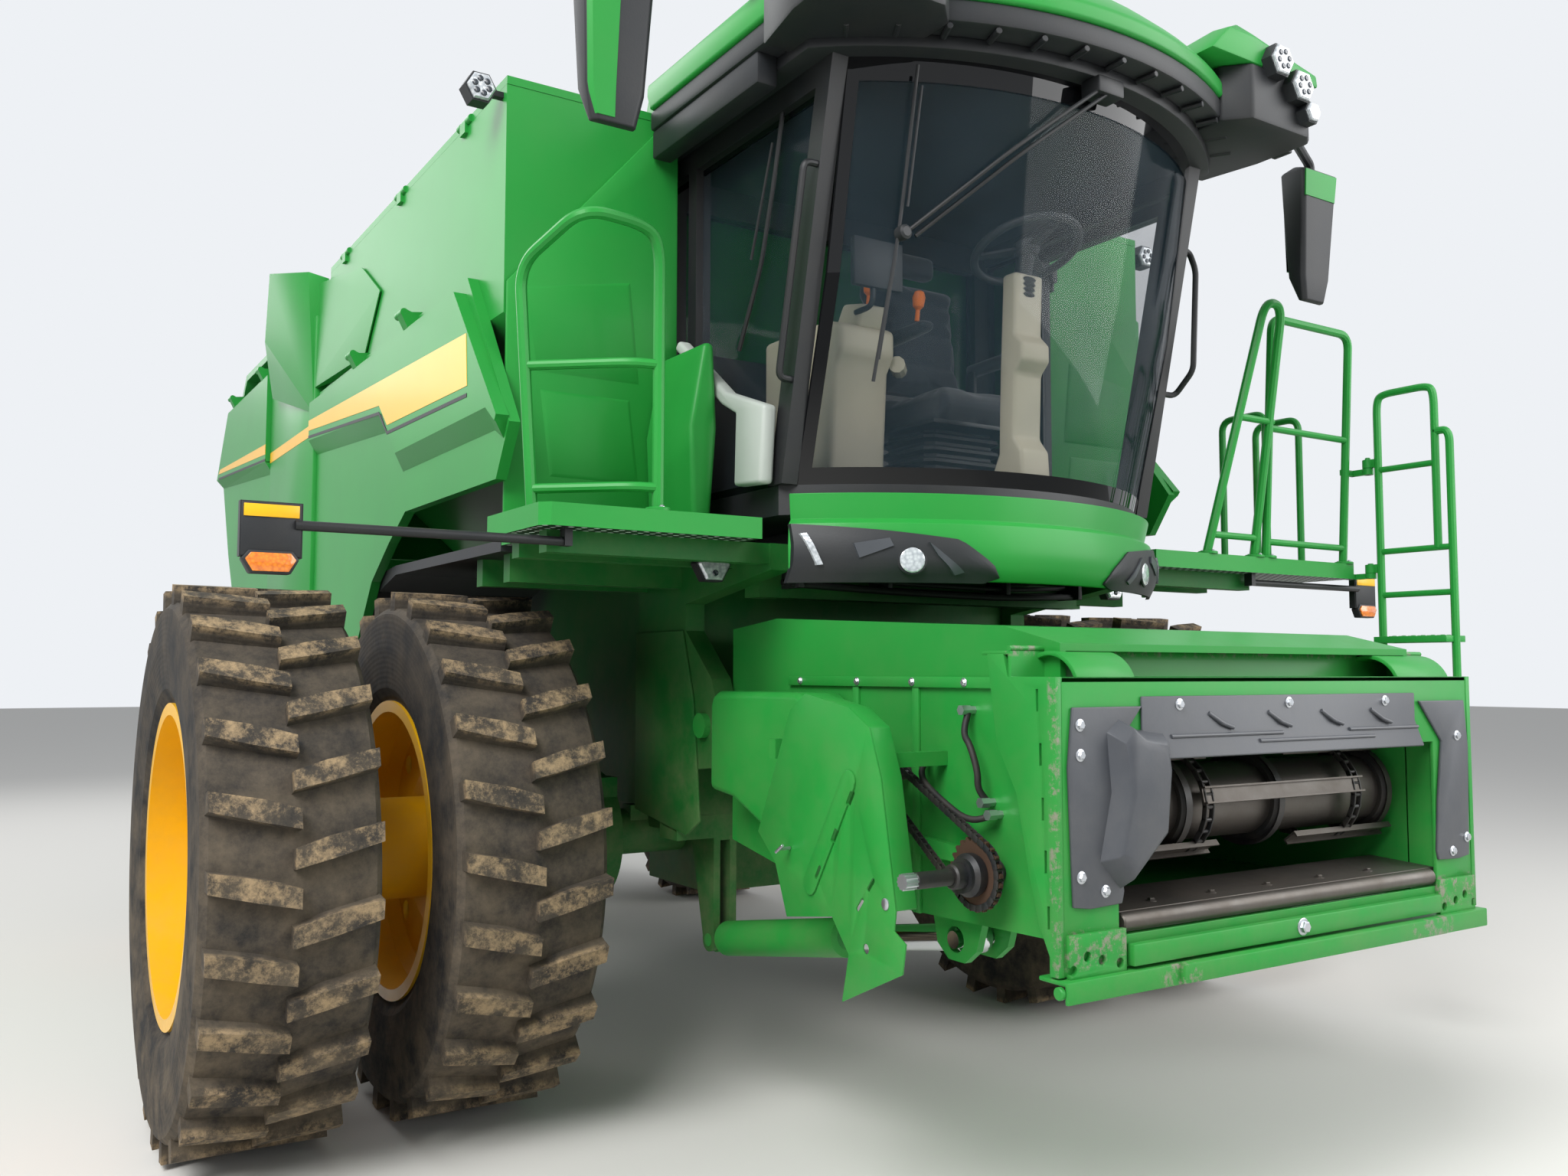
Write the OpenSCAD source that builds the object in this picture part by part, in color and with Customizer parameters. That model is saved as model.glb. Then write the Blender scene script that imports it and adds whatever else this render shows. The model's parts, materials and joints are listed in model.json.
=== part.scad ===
// Self-propelled combine harvester with twin front wheels and a steered rear axle.
// Lengths in millimetres, angles in degrees, +X forward, +Y left, +Z up, floor at Z = 0.
// Inside at_axle() the X values are measured from the front axle.

/* [Layout] */
// Front axle ahead of the middle of the machine
front_axle_x = 1500; // [1450:5:1550]
// Distance from the front axle back to the rear axle
wheelbase = 3550; // [3500:5:3600]

/* [Front wheels] */
// Radius over the lug tips
front_tyre_r = 975; // [960:1:985]
// Width of the tread
front_tyre_w = 524; // [500:1:530]
// Radius of the bead seat
front_seat_r = 533; // [520:1:540]
// Width between the rim flanges
front_rim_w = 458; // [440:1:470]
// Lugs on each side of the tread
front_lugs = 26; // [24:1:27]
// Inner wheel's centre from the middle of the machine
dual_y = 1524; // [1515:1:1535]
// Distance between the twin wheels
dual_gap = 762; // [755:1:770]

/* [Rear wheels] */
// Radius over the lug tips
rear_tyre_r = 795; // [780:1:800]
// Width of the tread
rear_tyre_w = 590; // [560:1:600]
// Radius of the bead seat
rear_seat_r = 330; // [320:1:340]
// Width between the rim flanges
rear_rim_w = 508; // [490:1:520]
// Lugs on each side of the tread
rear_lugs = 21; // [19:1:22]
// Wheel centre from the middle of the machine
rear_y = 1620; // [1610:1:1650]
// Kingpin from the middle of the machine
kingpin_y = 1180; // [1160:1:1190]

/* [Tyres] */
// Depth of the lugs
lug_depth = 50; // [40:1:55]
// Thickness of the rim plate
rim_plate = 16; // [12:1:20]

/* [Body] */
// Half width of the separator housing
sep_half_w = 780; // [760:1:790]
// Half width inside the side shields
body_half_w = 1600; // [1590:1:1610]
// Thickness of a side shield
shield_t = 40; // [30:1:45]
// Step out of the raised upper band of a shield
band_out = 45; // [30:1:50]
// Height of the front shields' hinge
shield_top = 3090; // [3080:1:3100]
// Height of the rear shields' hinge
rear_shield_top = 3460; // [3450:1:3470]
// Height of the grain tank's rim
tank_top = 3720; // [3700:1:3735]
// Thickness of the tank's walls
tank_wall = 30; // [20:1:35]

/* [Cab] */
// Height of the cab floor's top
cab_floor_z = 2270; // [2260:1:2280]
// Height of the underside of the roof
cab_top_z = 3620; // [3600:1:3640]
// Half width over the cab's side panels
cab_half_w = 880; // [870:1:890]
// Centre of the windshield's curve, ahead of the front axle
glass_x = 564; // [555:1:575]
// Radius of the windshield at the floor
glass_r_low = 1165; // [1155:1:1175]
// Radius of the windshield at the roof
glass_r_top = 1400; // [1390:1:1410]
// Thickness of the glass
glass_t = 8; // [6:1:10]
// Radius of the roof's front edge
roof_r = 1560; // [1540:1:1580]

/* [Platforms] */
// Height of the walking surface
deck_z = 2150; // [2140:1:2155]
// Depth of the platform's edge
deck_t = 70; // [50:1:80]
// Radius of the handrail tube
rail_r = 19; // [16:1:21]

/* [Feeder house] */
// Lift axis ahead of the front axle
lift_x = 850; // [840:1:860]
// Height of the lift axis
lift_z = 1450; // [1440:1:1460]
// Half width over the feeder's sides
feeder_half_w = 770; // [760:1:780]
// Thickness of the feeder's sheets
feeder_t = 20; // [15:1:25]
// Radius of the lift axis stubs
lift_pin_r = 45; // [40:1:50]
// Front drum's radius
drum_r = 150; // [140:1:160]

/* [Lift cylinders] */
// Cylinder's distance from the middle
cyl_y = 650; // [640:1:660]
// Barrel's outer radius
barrel_r = 65; // [60:1:70]
// Rod's radius
rod_r = 40; // [35:1:45]

/* [Unloading auger] */
// Radius of the tube
auger_r = 180; // [170:1:185]
// Length of the tube
auger_len = 5200; // [5000:10:5300]
// Slope of the tube
auger_rise = 5; // [4:0.1:5.5]

/* [Hidden] */

green = "#2c9139";
dark_green = "#1d6a2b";
yellow = "#f2b705";
black = "#1c1f22";
seat_gap = 0.3;      // between pieces that rest on each other
run_gap = 6;         // between pieces that move past each other
front_z = front_tyre_r;
rear_z = rear_tyre_r;
hinge_y = body_half_w + shield_t + band_out + 15;

// Everything inside is placed from the front axle
module at_axle() translate([front_axle_x, 0, 0]) children();
// Draws its child on the left, and mirrored on the right
module both_sides() for (s = [0, 1]) mirror([0, s, 0]) children();
// Draws its child on the left, or mirrored on the right where right is true
module on_side(right) mirror([0, right ? 1 : 0, 0]) children();
// Plate drawn in the XZ plane between y0 and y1
module side_plate(y0, y1) translate([0, y1, 0]) rotate([90, 0, 0]) linear_extrude(height = y1 - y0) children();
// Plate drawn in the YZ plane between x0 and x1
module cross_plate(x0, x1) translate([x0, 0, 0]) rotate([90, 0, 90]) linear_extrude(height = x1 - x0) children();
// Plate drawn in the XY plane between z0 and z1
module level_plate(z0, z1) translate([0, 0, z0]) linear_extrude(height = z1 - z0) children();
// Box from one corner to the other
module box(a, b) translate(a) cube(b - a);
// Round bar between two points
module bar(a, b, r) {
  d = b - a;
  len = norm(d);
  translate(a) rotate([0, acos(d[2] / len), atan2(d[1], d[0])]) cylinder(h = len, r = r, $fn = 32);
}
// Bent tube along points, with a ball at each inner bend
module tube(points, r) {
  for (i = [0:len(points) - 2]) bar(points[i], points[i + 1], r);
  for (i = [1:1:len(points) - 2]) translate(points[i]) sphere(r = r * 1.03, $fn = 32);
}
// Bar along Y
module cross_bar(x, z, y0, y1, r) translate([x, y0, z]) rotate([-90, 0, 0]) cylinder(h = y1 - y0, r = r, $fn = 48);

// Tyres and rims, about the Y axis, centred

function tyre_outline(r, w, seat, rim_w) = let(h = w / 2, b = rim_w / 2) [
  [seat, -b], [seat + 32, -b], [seat + 75, -h * 0.97], [r - 215, -h * 1.02], [r - 85, -h],
  [r - lug_depth - 13, -h * 0.92], [r - lug_depth, 0], [r - lug_depth - 13, h * 0.92],
  [r - 85, h], [r - 215, h * 1.02], [seat + 75, h * 0.97], [seat + 32, b], [seat, b]];

module tyre(r, w, seat, rim_w, lugs) {
  h = w / 2;
  step = 360 / lugs;
  tip = sqrt(r * r - 95 * 95);
  root = r - lug_depth - 55;
  rotate([-90, 0, 0]) {
    rotate_extrude($fn = 96) polygon(tyre_outline(r, w, seat, rim_w));
    for (i = [0:lugs - 1]) for (s = [0, 1])
      rotate([0, 0, (i + s / 2) * step])
        translate([root, 0, 0]) rotate([90, 0, 90]) mirror([0, s, 0])
          linear_extrude(height = tip - root)
            polygon([[-30, -10], [-62, h * 0.34], [-95, h * 0.955], [-35, h * 0.955], [5, h * 0.38], [30, -10]]);
  }
}

// Rim with its flanges and a dished plate at axial place plate_y
module rim(seat, rim_w, plate_y, hub_r) {
  b = rim_w / 2 + seat_gap;
  o = seat - seat_gap;
  rotate([-90, 0, 0]) {
    rotate_extrude($fn = 96)
      polygon([[o - rim_plate, -b - 12], [seat + 26, -b - 12], [seat + 26, -b], [o, -b],
        [o, b], [seat + 26, b], [seat + 26, b + 12], [o - rim_plate, b + 12]]);
    difference() {
      rotate_extrude($fn = 96)
        polygon([[0, plate_y - 30], [hub_r, plate_y - 30], [hub_r + 70, plate_y], [o - 60, plate_y],
          [o - rim_plate + 1, plate_y + 45], [o - rim_plate + 1, plate_y + 45 + rim_plate],
          [o - 66, plate_y + rim_plate], [hub_r + 62, plate_y + rim_plate], [hub_r, plate_y - 10], [0, plate_y - 10]]);
      for (i = [0:3]) rotate([0, 0, 45 + i * 90]) translate([(hub_r + o) / 2 + 30, 0, plate_y - 60])
        cylinder(h = 160, r = 38, $fn = 32);
      for (i = [0:9]) rotate([0, 0, i * 36]) translate([hub_r - 30, 0, plate_y - 60]) cylinder(h = 120, r = 12, $fn = 24);
    }
  }
}

front_inner_plate = 60;
front_outer_plate = -150;
spacer_r = 190;

module front_tyres(right) color("#26262a") at_axle() on_side(right)
  for (i = [0, 1]) translate([0, dual_y + i * dual_gap, front_z])
    tyre(front_tyre_r, front_tyre_w, front_seat_r, front_rim_w, front_lugs);

module front_rims(right) color(yellow) at_axle() on_side(right) {
  translate([0, dual_y, front_z]) rim(front_seat_r, front_rim_w, front_inner_plate, 230);
  translate([0, dual_y + dual_gap, front_z]) rim(front_seat_r, front_rim_w, front_outer_plate, 230);
  translate([0, dual_y + front_inner_plate - 10, front_z]) rotate([-90, 0, 0])
    cylinder(h = dual_gap + front_outer_plate - front_inner_plate - 20, r = spacer_r, $fn = 64);
}

module rear_tyre(right) color("#26262a") at_axle() on_side(right) translate([-wheelbase, rear_y, rear_z])
  tyre(rear_tyre_r, rear_tyre_w, rear_seat_r, rear_rim_w, rear_lugs);

rear_plate_y = -60;
module rear_rim(right) color(yellow) at_axle() on_side(right) translate([-wheelbase, rear_y, rear_z])
  rim(rear_seat_r, rear_rim_w, rear_plate_y, 150);

// Axles and steering

axle_r = 95;
front_hub_y = dual_y + front_inner_plate - 30 - seat_gap;
module front_axle() color(dark_green) at_axle() {
  both_sides() {
    translate([0, 0, front_z]) rotate([-90, 0, 0]) {
      cylinder(h = front_hub_y - 60, r = axle_r, $fn = 64);
      translate([0, 0, front_hub_y - 60]) cylinder(h = 60, r = 225, $fn = 64);
    }
    side_plate(900, 1180) drive_case();
  }
  box([-260, -520, front_z - 240], [260, 520, 1099.7]);
}
// Outline of the final drive's case
module drive_case() {
  translate([0, front_z]) circle(r = 260, $fn = 64);
  translate([-200, front_z + 60]) square([400, 1160 - front_z]);
}

axle_half = kingpin_y - 112;
module rear_axle() color(dark_green) at_axle() translate([-wheelbase, 0, rear_z]) {
  cross_plate(-90, 90) difference() {
    union() {
      polygon([[-axle_half, -80], [-700, -110], [700, -110], [axle_half, -80], [axle_half, 80], [300, 150], [-300, 150], [-axle_half, 80]]);
      translate([-160, 0]) square([320, 250]);
    }
  }
  both_sides() difference() {
    for (z = [-150, 90]) translate([0, kingpin_y, z]) cylinder(h = 60, r = 90, $fn = 48);
    translate([0, kingpin_y, -200]) cylinder(h = 400, r = 30 + 0.05, $fn = 48);
  }
  both_sides() for (z = [-150, 90]) box([-60, axle_half - 120, z], [60, kingpin_y - 60, z + 60]);
  both_sides() box([-60, axle_half - 120, -150], [60, axle_half - 20, 150]);
}

arm_len = 330;
arm_y = kingpin_y;
module knuckle(right) color(dark_green) at_axle() on_side(right) translate([-wheelbase, 0, rear_z]) {
  translate([0, kingpin_y, -170]) cylinder(h = 340, r = 30, $fn = 48);
  translate([0, kingpin_y, -84]) cylinder(h = 168, r = 75, $fn = 48);
  translate([0, kingpin_y + 40, 0]) rotate([-90, 0, 0])
    cylinder(h = rear_y + rear_plate_y - 30 - seat_gap - kingpin_y - 40, r = 70, $fn = 48);
  translate([0, rear_y + rear_plate_y - 30 - seat_gap - 30, 0]) rotate([-90, 0, 0]) cylinder(h = 30, r = 140, $fn = 48);
  difference() {
    translate([0, 0, -40]) level_plate(0, 40) union() {
      polygon([[0, kingpin_y + 60], [-arm_len, arm_y + 50], [-arm_len, arm_y - 50], [0, kingpin_y - 60]]);
      translate([-arm_len, arm_y]) circle(r = 50, $fn = 48);
    }
    translate([-arm_len, arm_y, -60]) cylinder(h = 80, r = 20 + 0.05, $fn = 48);
  }
}

module tie_rod() color(black) at_axle() translate([-wheelbase - arm_len, 0, rear_z]) {
  cross_bar(0, -75, -arm_y, arm_y, 26);
  both_sides() translate([0, arm_y, -100]) {
    cylinder(h = 59.5, r = 42, $fn = 48);
    cylinder(h = 105, r = 20, $fn = 48);
  }
}

// Frame, separator and engine

// Bracket plate that holds a lift cylinder's base eye
module base_ear() difference() {
  union() {
    polygon([[460, 1001], [640, 1001], [640, 700], [640, base_eye[1]], [560, base_eye[1]]]);
    translate(base_eye) circle(r = 44, $fn = 48);
  }
  translate(base_eye) circle(r = base_pin_r + 0.05, $fn = 48);
}
module main_frame() color(dark_green) at_axle() difference() {
  union() {
    both_sides() {
      side_plate(600, 700)
        polygon([[640, 1000], [640, 1099.7], [-2600, 1099.7], [-wheelbase - 750, 1299.7], [-wheelbase - 750, 1220], [850 - wheelbase, 1000]]);
      side_plate(sep_half_w + seat_gap, 860) difference() {
        polygon([[300, 1235], [900, 1300], [950, 1400], [950, 1500], [900, 1620], [700, 1800], [700, 1900],
          [1300, 1990], [1300, 2079.7], [720, 2079.7], [720, 2059.7], [300, 2059.7]]);
        translate([lift_x, lift_z]) circle(r = lift_pin_r + 0.05, $fn = 64);
      }
      side_plate(cyl_y - 50, cyl_y - 22) base_ear();
      side_plate(cyl_y + 22, cyl_y + 50) base_ear();
      box([320, 859, 1960], [380, 1540, 2059.7]);
      box([600, 859, 1960], [660, 1540, 2059.7]);
      box([1000, 859, 2010], [1060, 1660, 2079.7]);
      box([1230, 859, 2010], [1290, 1660, 2079.7]);
      box([0, 699, 1010], [80, 781, 1090]);
      box([500, 699, 1010], [640, 859, 1099]);
      box([500, sep_half_w + seat_gap, 1010], [640, 860, 1300]);
    }
    for (x = [500, -1700, -2900]) box([x, -601, 1000], [x + 100, 601, 1099.7]);
    box([-wheelbase - 80, -601, rear_z + 250 + seat_gap], [-wheelbase + 80, 601, 1190]);
    box([1000, -sep_half_w - 1, 1910], [1100, sep_half_w + 1, 1999.7]);
  }
  cross_bar(0, front_z, -1300, 1300, axle_r + seat_gap);
  box([-260.3, -520.3, 900], [260.3, 520.3, 1200]);
}

module separator_body() color(dark_green) at_axle() {
  side_plate(-sep_half_w, sep_half_w) difference() {
    polygon([[640, 1100], [640, 2000], [500, 2099.7], [-1900, 2099.7], [-1900, 2240], [-4350, 2240],
      [-4620, 2000], [-4620, 1500], [-wheelbase - 750, 1300], [-2600, 1100]]);
  }
}

module engine() color("#3b3f42") at_axle() box([-3350, -480, 2240.3], [-2250, 480, 3200]);

// Grain tank: an upper box over a hopper, recessed for the cab

module tank_outer(w) intersection() {
  side_plate(-body_half_w, body_half_w)
    polygon([[720 - w, 2100 + w], [720 - w, tank_top + (w > 0 ? 60 : 0)], [-1850 + w, tank_top + (w > 0 ? 60 : 0)], [-1850 + w, 2100 + w]]);
  cross_plate(-1860, 730)
    polygon([[-700 + w, 2100 + w], [-body_half_w + seat_gap + w, 2900 + w], [-body_half_w + seat_gap + w, 4000],
      [body_half_w - seat_gap - w, 4000], [body_half_w - seat_gap - w, 2900 + w], [700 - w, 2100 + w]]);
}
recess_x = 400;
recess_half_w = cab_half_w + 80;
cover_t = 30;
cover_axis_z = tank_top + cover_t / 2;
cover_knuckle_xs = [-1560, -600, 250];
cover_pin_r = 6;
// Hinge knuckles on the tank's rim, with their pins
module cover_knuckles() both_sides() for (x = cover_knuckle_xs) {
  box([x, body_half_w - 14, cover_axis_z - 45], [x + hinge_w, body_half_w + 14, cover_axis_z]);
  translate([x, body_half_w, cover_axis_z]) rotate([0, 90, 0]) cylinder(h = hinge_w, r = 14, $fn = 32);
  translate([x - 25, body_half_w, cover_axis_z]) rotate([0, 90, 0]) cylinder(h = hinge_w + 50, r = cover_pin_r, $fn = 32);
}
module grain_tank() color(green) at_axle() {
  tank_shell();
  both_sides() for (x = front_hinge_xs) shield_bracket(x, shield_top);
  cover_knuckles();
}
module tank_shell() difference() {
  tank_outer(0);
  difference() {
    tank_outer(tank_wall);
    box([recess_x - tank_wall, -recess_half_w - tank_wall, 2000], [800, recess_half_w + tank_wall, 4000]);
  }
  box([recess_x, -recess_half_w, 2000], [800, recess_half_w, 4000]);
}

module tank_cover(right) color(green) at_axle() on_side(right) difference() {
  union() {
    level_plate(tank_top + seat_gap, tank_top + cover_t)
      polygon([[722, body_half_w], [722, recess_half_w + 5], [recess_x - 5, recess_half_w + 5], [recess_x - 5, 3], [-1850, 3], [-1850, body_half_w]]);
    for (x = cover_knuckle_xs) translate([x - 40, body_half_w, cover_axis_z]) rotate([0, 90, 0])
      cylinder(h = hinge_w + 80, r = cover_t / 2 - seat_gap, $fn = 32);
  }
  for (x = cover_knuckle_xs) {
    box([x - 4, body_half_w - 24, tank_top - 20], [x + hinge_w + 4, body_half_w + 30, tank_top + 60]);
    translate([x - 30, body_half_w, cover_axis_z]) rotate([0, 90, 0]) cylinder(h = hinge_w + 60, r = cover_pin_r + 0.05, $fn = 32);
  }
}

// Rear hood over the engine bay

hood_outer = [[-1860, 2240.3], [-1860, 3560], [-2700, 3640], [-4200, 3640], [-4560, 3300], [-4700, 2960], [-4520, 2240.3]];
hood_inner = [[-1900, 2200], [-1900, 3525], [-2705, 3600], [-4180, 3600], [-4525, 3280], [-4655, 2960], [-4480, 2200]];
module rear_hood() color(green) at_axle() {
  side_plate(-body_half_w + seat_gap, body_half_w - seat_gap) difference() {
    polygon(hood_outer);
    polygon(hood_inner);
  }
  both_sides() for (x = rear_hinge_xs) shield_bracket(x, rear_shield_top);
}

// Air intake fairings beside the engine bay, wide on the right and flush on the left
spine_y = body_half_w + 60;
module air_scoops() color(green) at_axle() {
  on_side(true) {
    side_plate(body_half_w, spine_y)
      polygon([[-1886, 1600], [-1886, 3100], [-1700, 3100], [-1700, 3640], [-2990, 3640], [-2990, 1800], [-2700, 1600]]);
    hull() {
      box([-2600, body_half_w, 3735], [-1870, 1830, 3740]);
      box([-2990, body_half_w, 3600], [-2600, 1760, 3740]);
      box([-2250, body_half_w, 3000], [-1950, spine_y + 5, 3010]);
    }
    hull() {
      box([-1750, body_half_w, 3690], [-1640, 1700, 3700]);
      box([-1130, body_half_w, 3350], [-1120, 1650, 3360]);
      box([-1400, body_half_w, 3110], [-1700, spine_y, 3120]);
      box([-1750, body_half_w, 3105], [-1700, spine_y, 3120]);
    }
  }
  side_plate(body_half_w, spine_y)
    polygon([[-1886, 1600], [-1886, 3100], [-1700, 3100], [-1700, 3300], [-2990, 3440], [-2990, 1800], [-2700, 1600]]);
}

module chopper() color(black) at_axle() {
  side_plate(-sep_half_w, sep_half_w) difference() {
    polygon([[-4620.3, 1480], [-4620.3, 2000], [-4900, 2150], [-5150, 1900], [-5150, 1500], [-4950, 1300]]);
    polygon([[-4680, 1300], [-4680, 1900], [-4950, 1950], [-5110, 1850], [-5110, 1540], [-4960, 1300]]);
  }
  side_plate(-sep_half_w, -sep_half_w + 30) polygon([[-4680, 1480], [-4680, 1900], [-4950, 1950], [-5110, 1850], [-5110, 1540], [-4950, 1300]]);
  side_plate(sep_half_w - 30, sep_half_w) polygon([[-4680, 1480], [-4680, 1900], [-4950, 1950], [-5110, 1850], [-5110, 1540], [-4950, 1300]]);
  side_plate(-sep_half_w, sep_half_w) polygon([[-5120, 1700], [-5150, 1740], [-5720, 1480], [-5720, 1440]]);
}

// Wheel arch liners, inner shields and the arms that carry them

module wheel_arches() color(black) at_axle() both_sides() {
  side_plate(sep_half_w + 90, body_half_w - run_gap) difference() {
    polygon([[715, 2099], [-560, 2099], [-1250, 2040], [-1250, 1480], [-1210, 1480], [-1080, 1740], [-820, 2000], [-560, 2060], [715, 2060]]);
  }
}

// Side shields

// Front shield outline
front_outline = [[450, shield_top - 5], [900, 2480], [780, 2300], [-280, 2300], [-510, 2190], [-770, 2040],
  [-1020, 1750], [-1150, 1500], [-1880, 1500], [-1880, shield_top - 5]];
// Outline of the raised band above the character line
front_band = [[430, shield_top - 60], [895, 2500], [880, 2480], [790, 2540], [-290, 2540], [-500, 2740], [-1880, 2835], [-1880, shield_top - 60]];
rear_outline = [[-3010, 1800], [-3010, rear_shield_top - 5], [-4340, rear_shield_top - 5], [-4750, 2970], [-4460, 2440], [-4100, 1950], [-3900, 1800]];
rear_band = [[-3010, 2880], [-3010, rear_shield_top - 60], [-4350, rear_shield_top - 60], [-4735, 2985]];

// Hinges of the side shields: where they stand, their pins and eyes
front_hinge_xs = [-1000, -200];
rear_hinge_xs = [-4150, -3200];
hinge_w = 60;
hinge_pin_r = 8;
module shield_bracket(x, top) translate([0, hinge_y, top]) {
  cross_plate(x - 30, x - 4) difference() {
    union() {
      circle(r = 16, $fn = 32);
      polygon([[body_half_w - hinge_y - 1, 6], [body_half_w - hinge_y - 1, 30], [0, 16], [14, 0], [-14, 0]]);
    }
  }
  translate([x - 30, 0, 0]) rotate([0, 90, 0]) cylinder(h = hinge_w + 30, r = hinge_pin_r, $fn = 32);
}
module shield_eye(x, top) translate([0, hinge_y, top]) cross_plate(x, x + hinge_w) difference() {
  union() {
    circle(r = 16, $fn = 32);
    polygon([[8 + body_half_w - hinge_y, -50], [-15, -62], [12, -10], [-6, 14], [-60, -8], [8 + body_half_w - hinge_y, -8]]);
  }
  circle(r = hinge_pin_r + 0.05, $fn = 32);
}

module shield(outline, band, top, xs) {
  for (x = xs) shield_eye(x, top);
  side_plate(body_half_w, body_half_w + shield_t) polygon(outline);
  side_plate(body_half_w + shield_t - 1, body_half_w + shield_t + band_out) polygon(band);
}
module shield_front(right) color(green) at_axle() on_side(right) shield(front_outline, front_band, shield_top, front_hinge_xs);
module shield_rear(right) color(green) at_axle() on_side(right) shield(rear_outline, rear_band, rear_shield_top, rear_hinge_xs);

// Cab

// Plan of the cab between the side panels, with its curved front
module cab_plan(r, half_w, rear) intersection() {
  union() {
    translate([glass_x, 0]) circle(r = r, $fn = 128);
    translate([rear, -half_w]) square([glass_x - rear, 2 * half_w]);
  }
  translate([rear, -half_w]) square([3000, 2 * half_w]);
}
cab_rear_x = 440;
b_pillar_x = 800;
door_hinge_x = 852;
door_hinge_y = cab_half_w + 22;
door_hinge_zs = [2420, 3380];
pillar_in = 62;

module cab_base() color(black) at_axle() {
  level_plate(cab_floor_z - 100, cab_floor_z) cab_plan(glass_r_low, cab_half_w - 20, cab_rear_x);
  both_sides() box([640, 420, 2000], [1500, 520, cab_floor_z - 100]);
  box([640, -420, 2040], [760, 420, cab_floor_z - 100]);
  box([1300, -420, 2060], [1400, 420, cab_floor_z - 100]);
}

skirt_r = glass_r_low + 30;
module ring_part(r0, r1, z0, z1, a0, a1) translate([glass_x, 0, 0]) rotate([0, 0, a0])
  rotate_extrude(angle = a1 - a0, $fn = 128) translate([r0, z0]) square([r1 - r0, z1 - z0]);
skirt_a = asin((cab_half_w - 6) / skirt_r);
module cab_skirt() color(green) at_axle() difference() {
  ring_part(glass_r_low + seat_gap, skirt_r, 2010, cab_floor_z - 30, -skirt_a, skirt_a);
  both_sides() ring_part(glass_r_low - 10, skirt_r + 10, 2000, 2150, 20 - 0.5, skirt_a + 1);
}

a_foot = 1320;
a_head = 1620;
a_w = 80;
module cab_frame() color(black) at_axle() {
  both_sides() {
    side_plate(cab_half_w - pillar_in, cab_half_w)
      polygon([[a_foot, cab_floor_z + seat_gap], [a_foot + a_w, cab_floor_z + seat_gap], [a_head + a_w, cab_top_z - seat_gap], [a_head, cab_top_z - seat_gap]]);
    side_plate(cab_half_w - pillar_in, cab_half_w)
      polygon([[b_pillar_x - 60, cab_floor_z + seat_gap], [b_pillar_x, cab_floor_z + seat_gap], [b_pillar_x, cab_top_z - seat_gap], [b_pillar_x - 60, cab_top_z - seat_gap]]);
    side_plate(cab_half_w - pillar_in, cab_half_w)
      polygon([[cab_rear_x, cab_floor_z + seat_gap], [b_pillar_x - 59, cab_floor_z + seat_gap], [b_pillar_x - 59, cab_floor_z + 400], [cab_rear_x, cab_floor_z + 400]]);
    side_plate(cab_half_w - pillar_in, cab_half_w)
      polygon([[cab_rear_x, cab_top_z - 80], [a_head + 1, cab_top_z - 80], [a_head + 10, cab_top_z - seat_gap], [cab_rear_x, cab_top_z - seat_gap]]);
  }
  for (z = door_hinge_zs) {
    box([b_pillar_x - 50, cab_half_w - 1, z - 30], [b_pillar_x, door_hinge_y + 14, z - seat_gap]);
    box([b_pillar_x - 1, cab_half_w + seat_gap, z - 30], [door_hinge_x, door_hinge_y + 14, z - seat_gap]);
    translate([door_hinge_x, door_hinge_y, z - 30]) cylinder(h = 30 - seat_gap, r = 14, $fn = 32);
    translate([door_hinge_x, door_hinge_y, z - 30]) cylinder(h = 90, r = 7, $fn = 32);
  }
  cross_plate(cab_rear_x, cab_rear_x + 60) difference() {
    translate([-cab_half_w, cab_floor_z + seat_gap]) square([2 * cab_half_w, cab_top_z - cab_floor_z - 2 * seat_gap]);
    translate([-cab_half_w + 120, cab_floor_z + 650]) square([2 * cab_half_w - 240, 580]);
  }
}

module windshield() color("#9fb8c4", 0.35) at_axle() intersection() {
  translate([glass_x, 0, 0]) rotate([0, 0, -60]) rotate_extrude(angle = 120, $fn = 128)
    polygon([[glass_r_low - glass_t, cab_floor_z + seat_gap], [glass_r_low, cab_floor_z + seat_gap],
      [(glass_r_low + glass_r_top) / 2 + 20, (cab_floor_z + cab_top_z) / 2], [glass_r_top, cab_top_z - seat_gap],
      [glass_r_top - glass_t, cab_top_z - seat_gap], [(glass_r_low + glass_r_top) / 2 + 20 - glass_t, (cab_floor_z + cab_top_z) / 2]]);
  box([800, -cab_half_w + pillar_in + seat_gap, 2000], [2300, cab_half_w - pillar_in - seat_gap, 4000]);
}

glass_in = 30;
module cab_glass() color("#9fb8c4", 0.35) at_axle() {
  on_side(true) side_plate(cab_half_w - glass_in - glass_t, cab_half_w - glass_in)
    polygon([[b_pillar_x + seat_gap, cab_floor_z + seat_gap], [a_foot - seat_gap, cab_floor_z + seat_gap],
      [a_head - 18, cab_top_z - 80.5], [b_pillar_x + seat_gap, cab_top_z - 80.5]]);
  both_sides() side_plate(cab_half_w - glass_in - glass_t, cab_half_w - glass_in)
    polygon([[cab_rear_x + 60.3, cab_floor_z + 400.3], [b_pillar_x - 60.3, cab_floor_z + 400.3],
      [b_pillar_x - 60.3, cab_top_z - 80.5], [cab_rear_x + 60.3, cab_top_z - 80.5]]);
  cross_plate(cab_rear_x + 20, cab_rear_x + 28)
    translate([-cab_half_w + 120.3, cab_floor_z + 650.3]) square([2 * cab_half_w - 240.6, 579.4]);
}

door_y0 = cab_half_w - 50;
door_y1 = cab_half_w;
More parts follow.
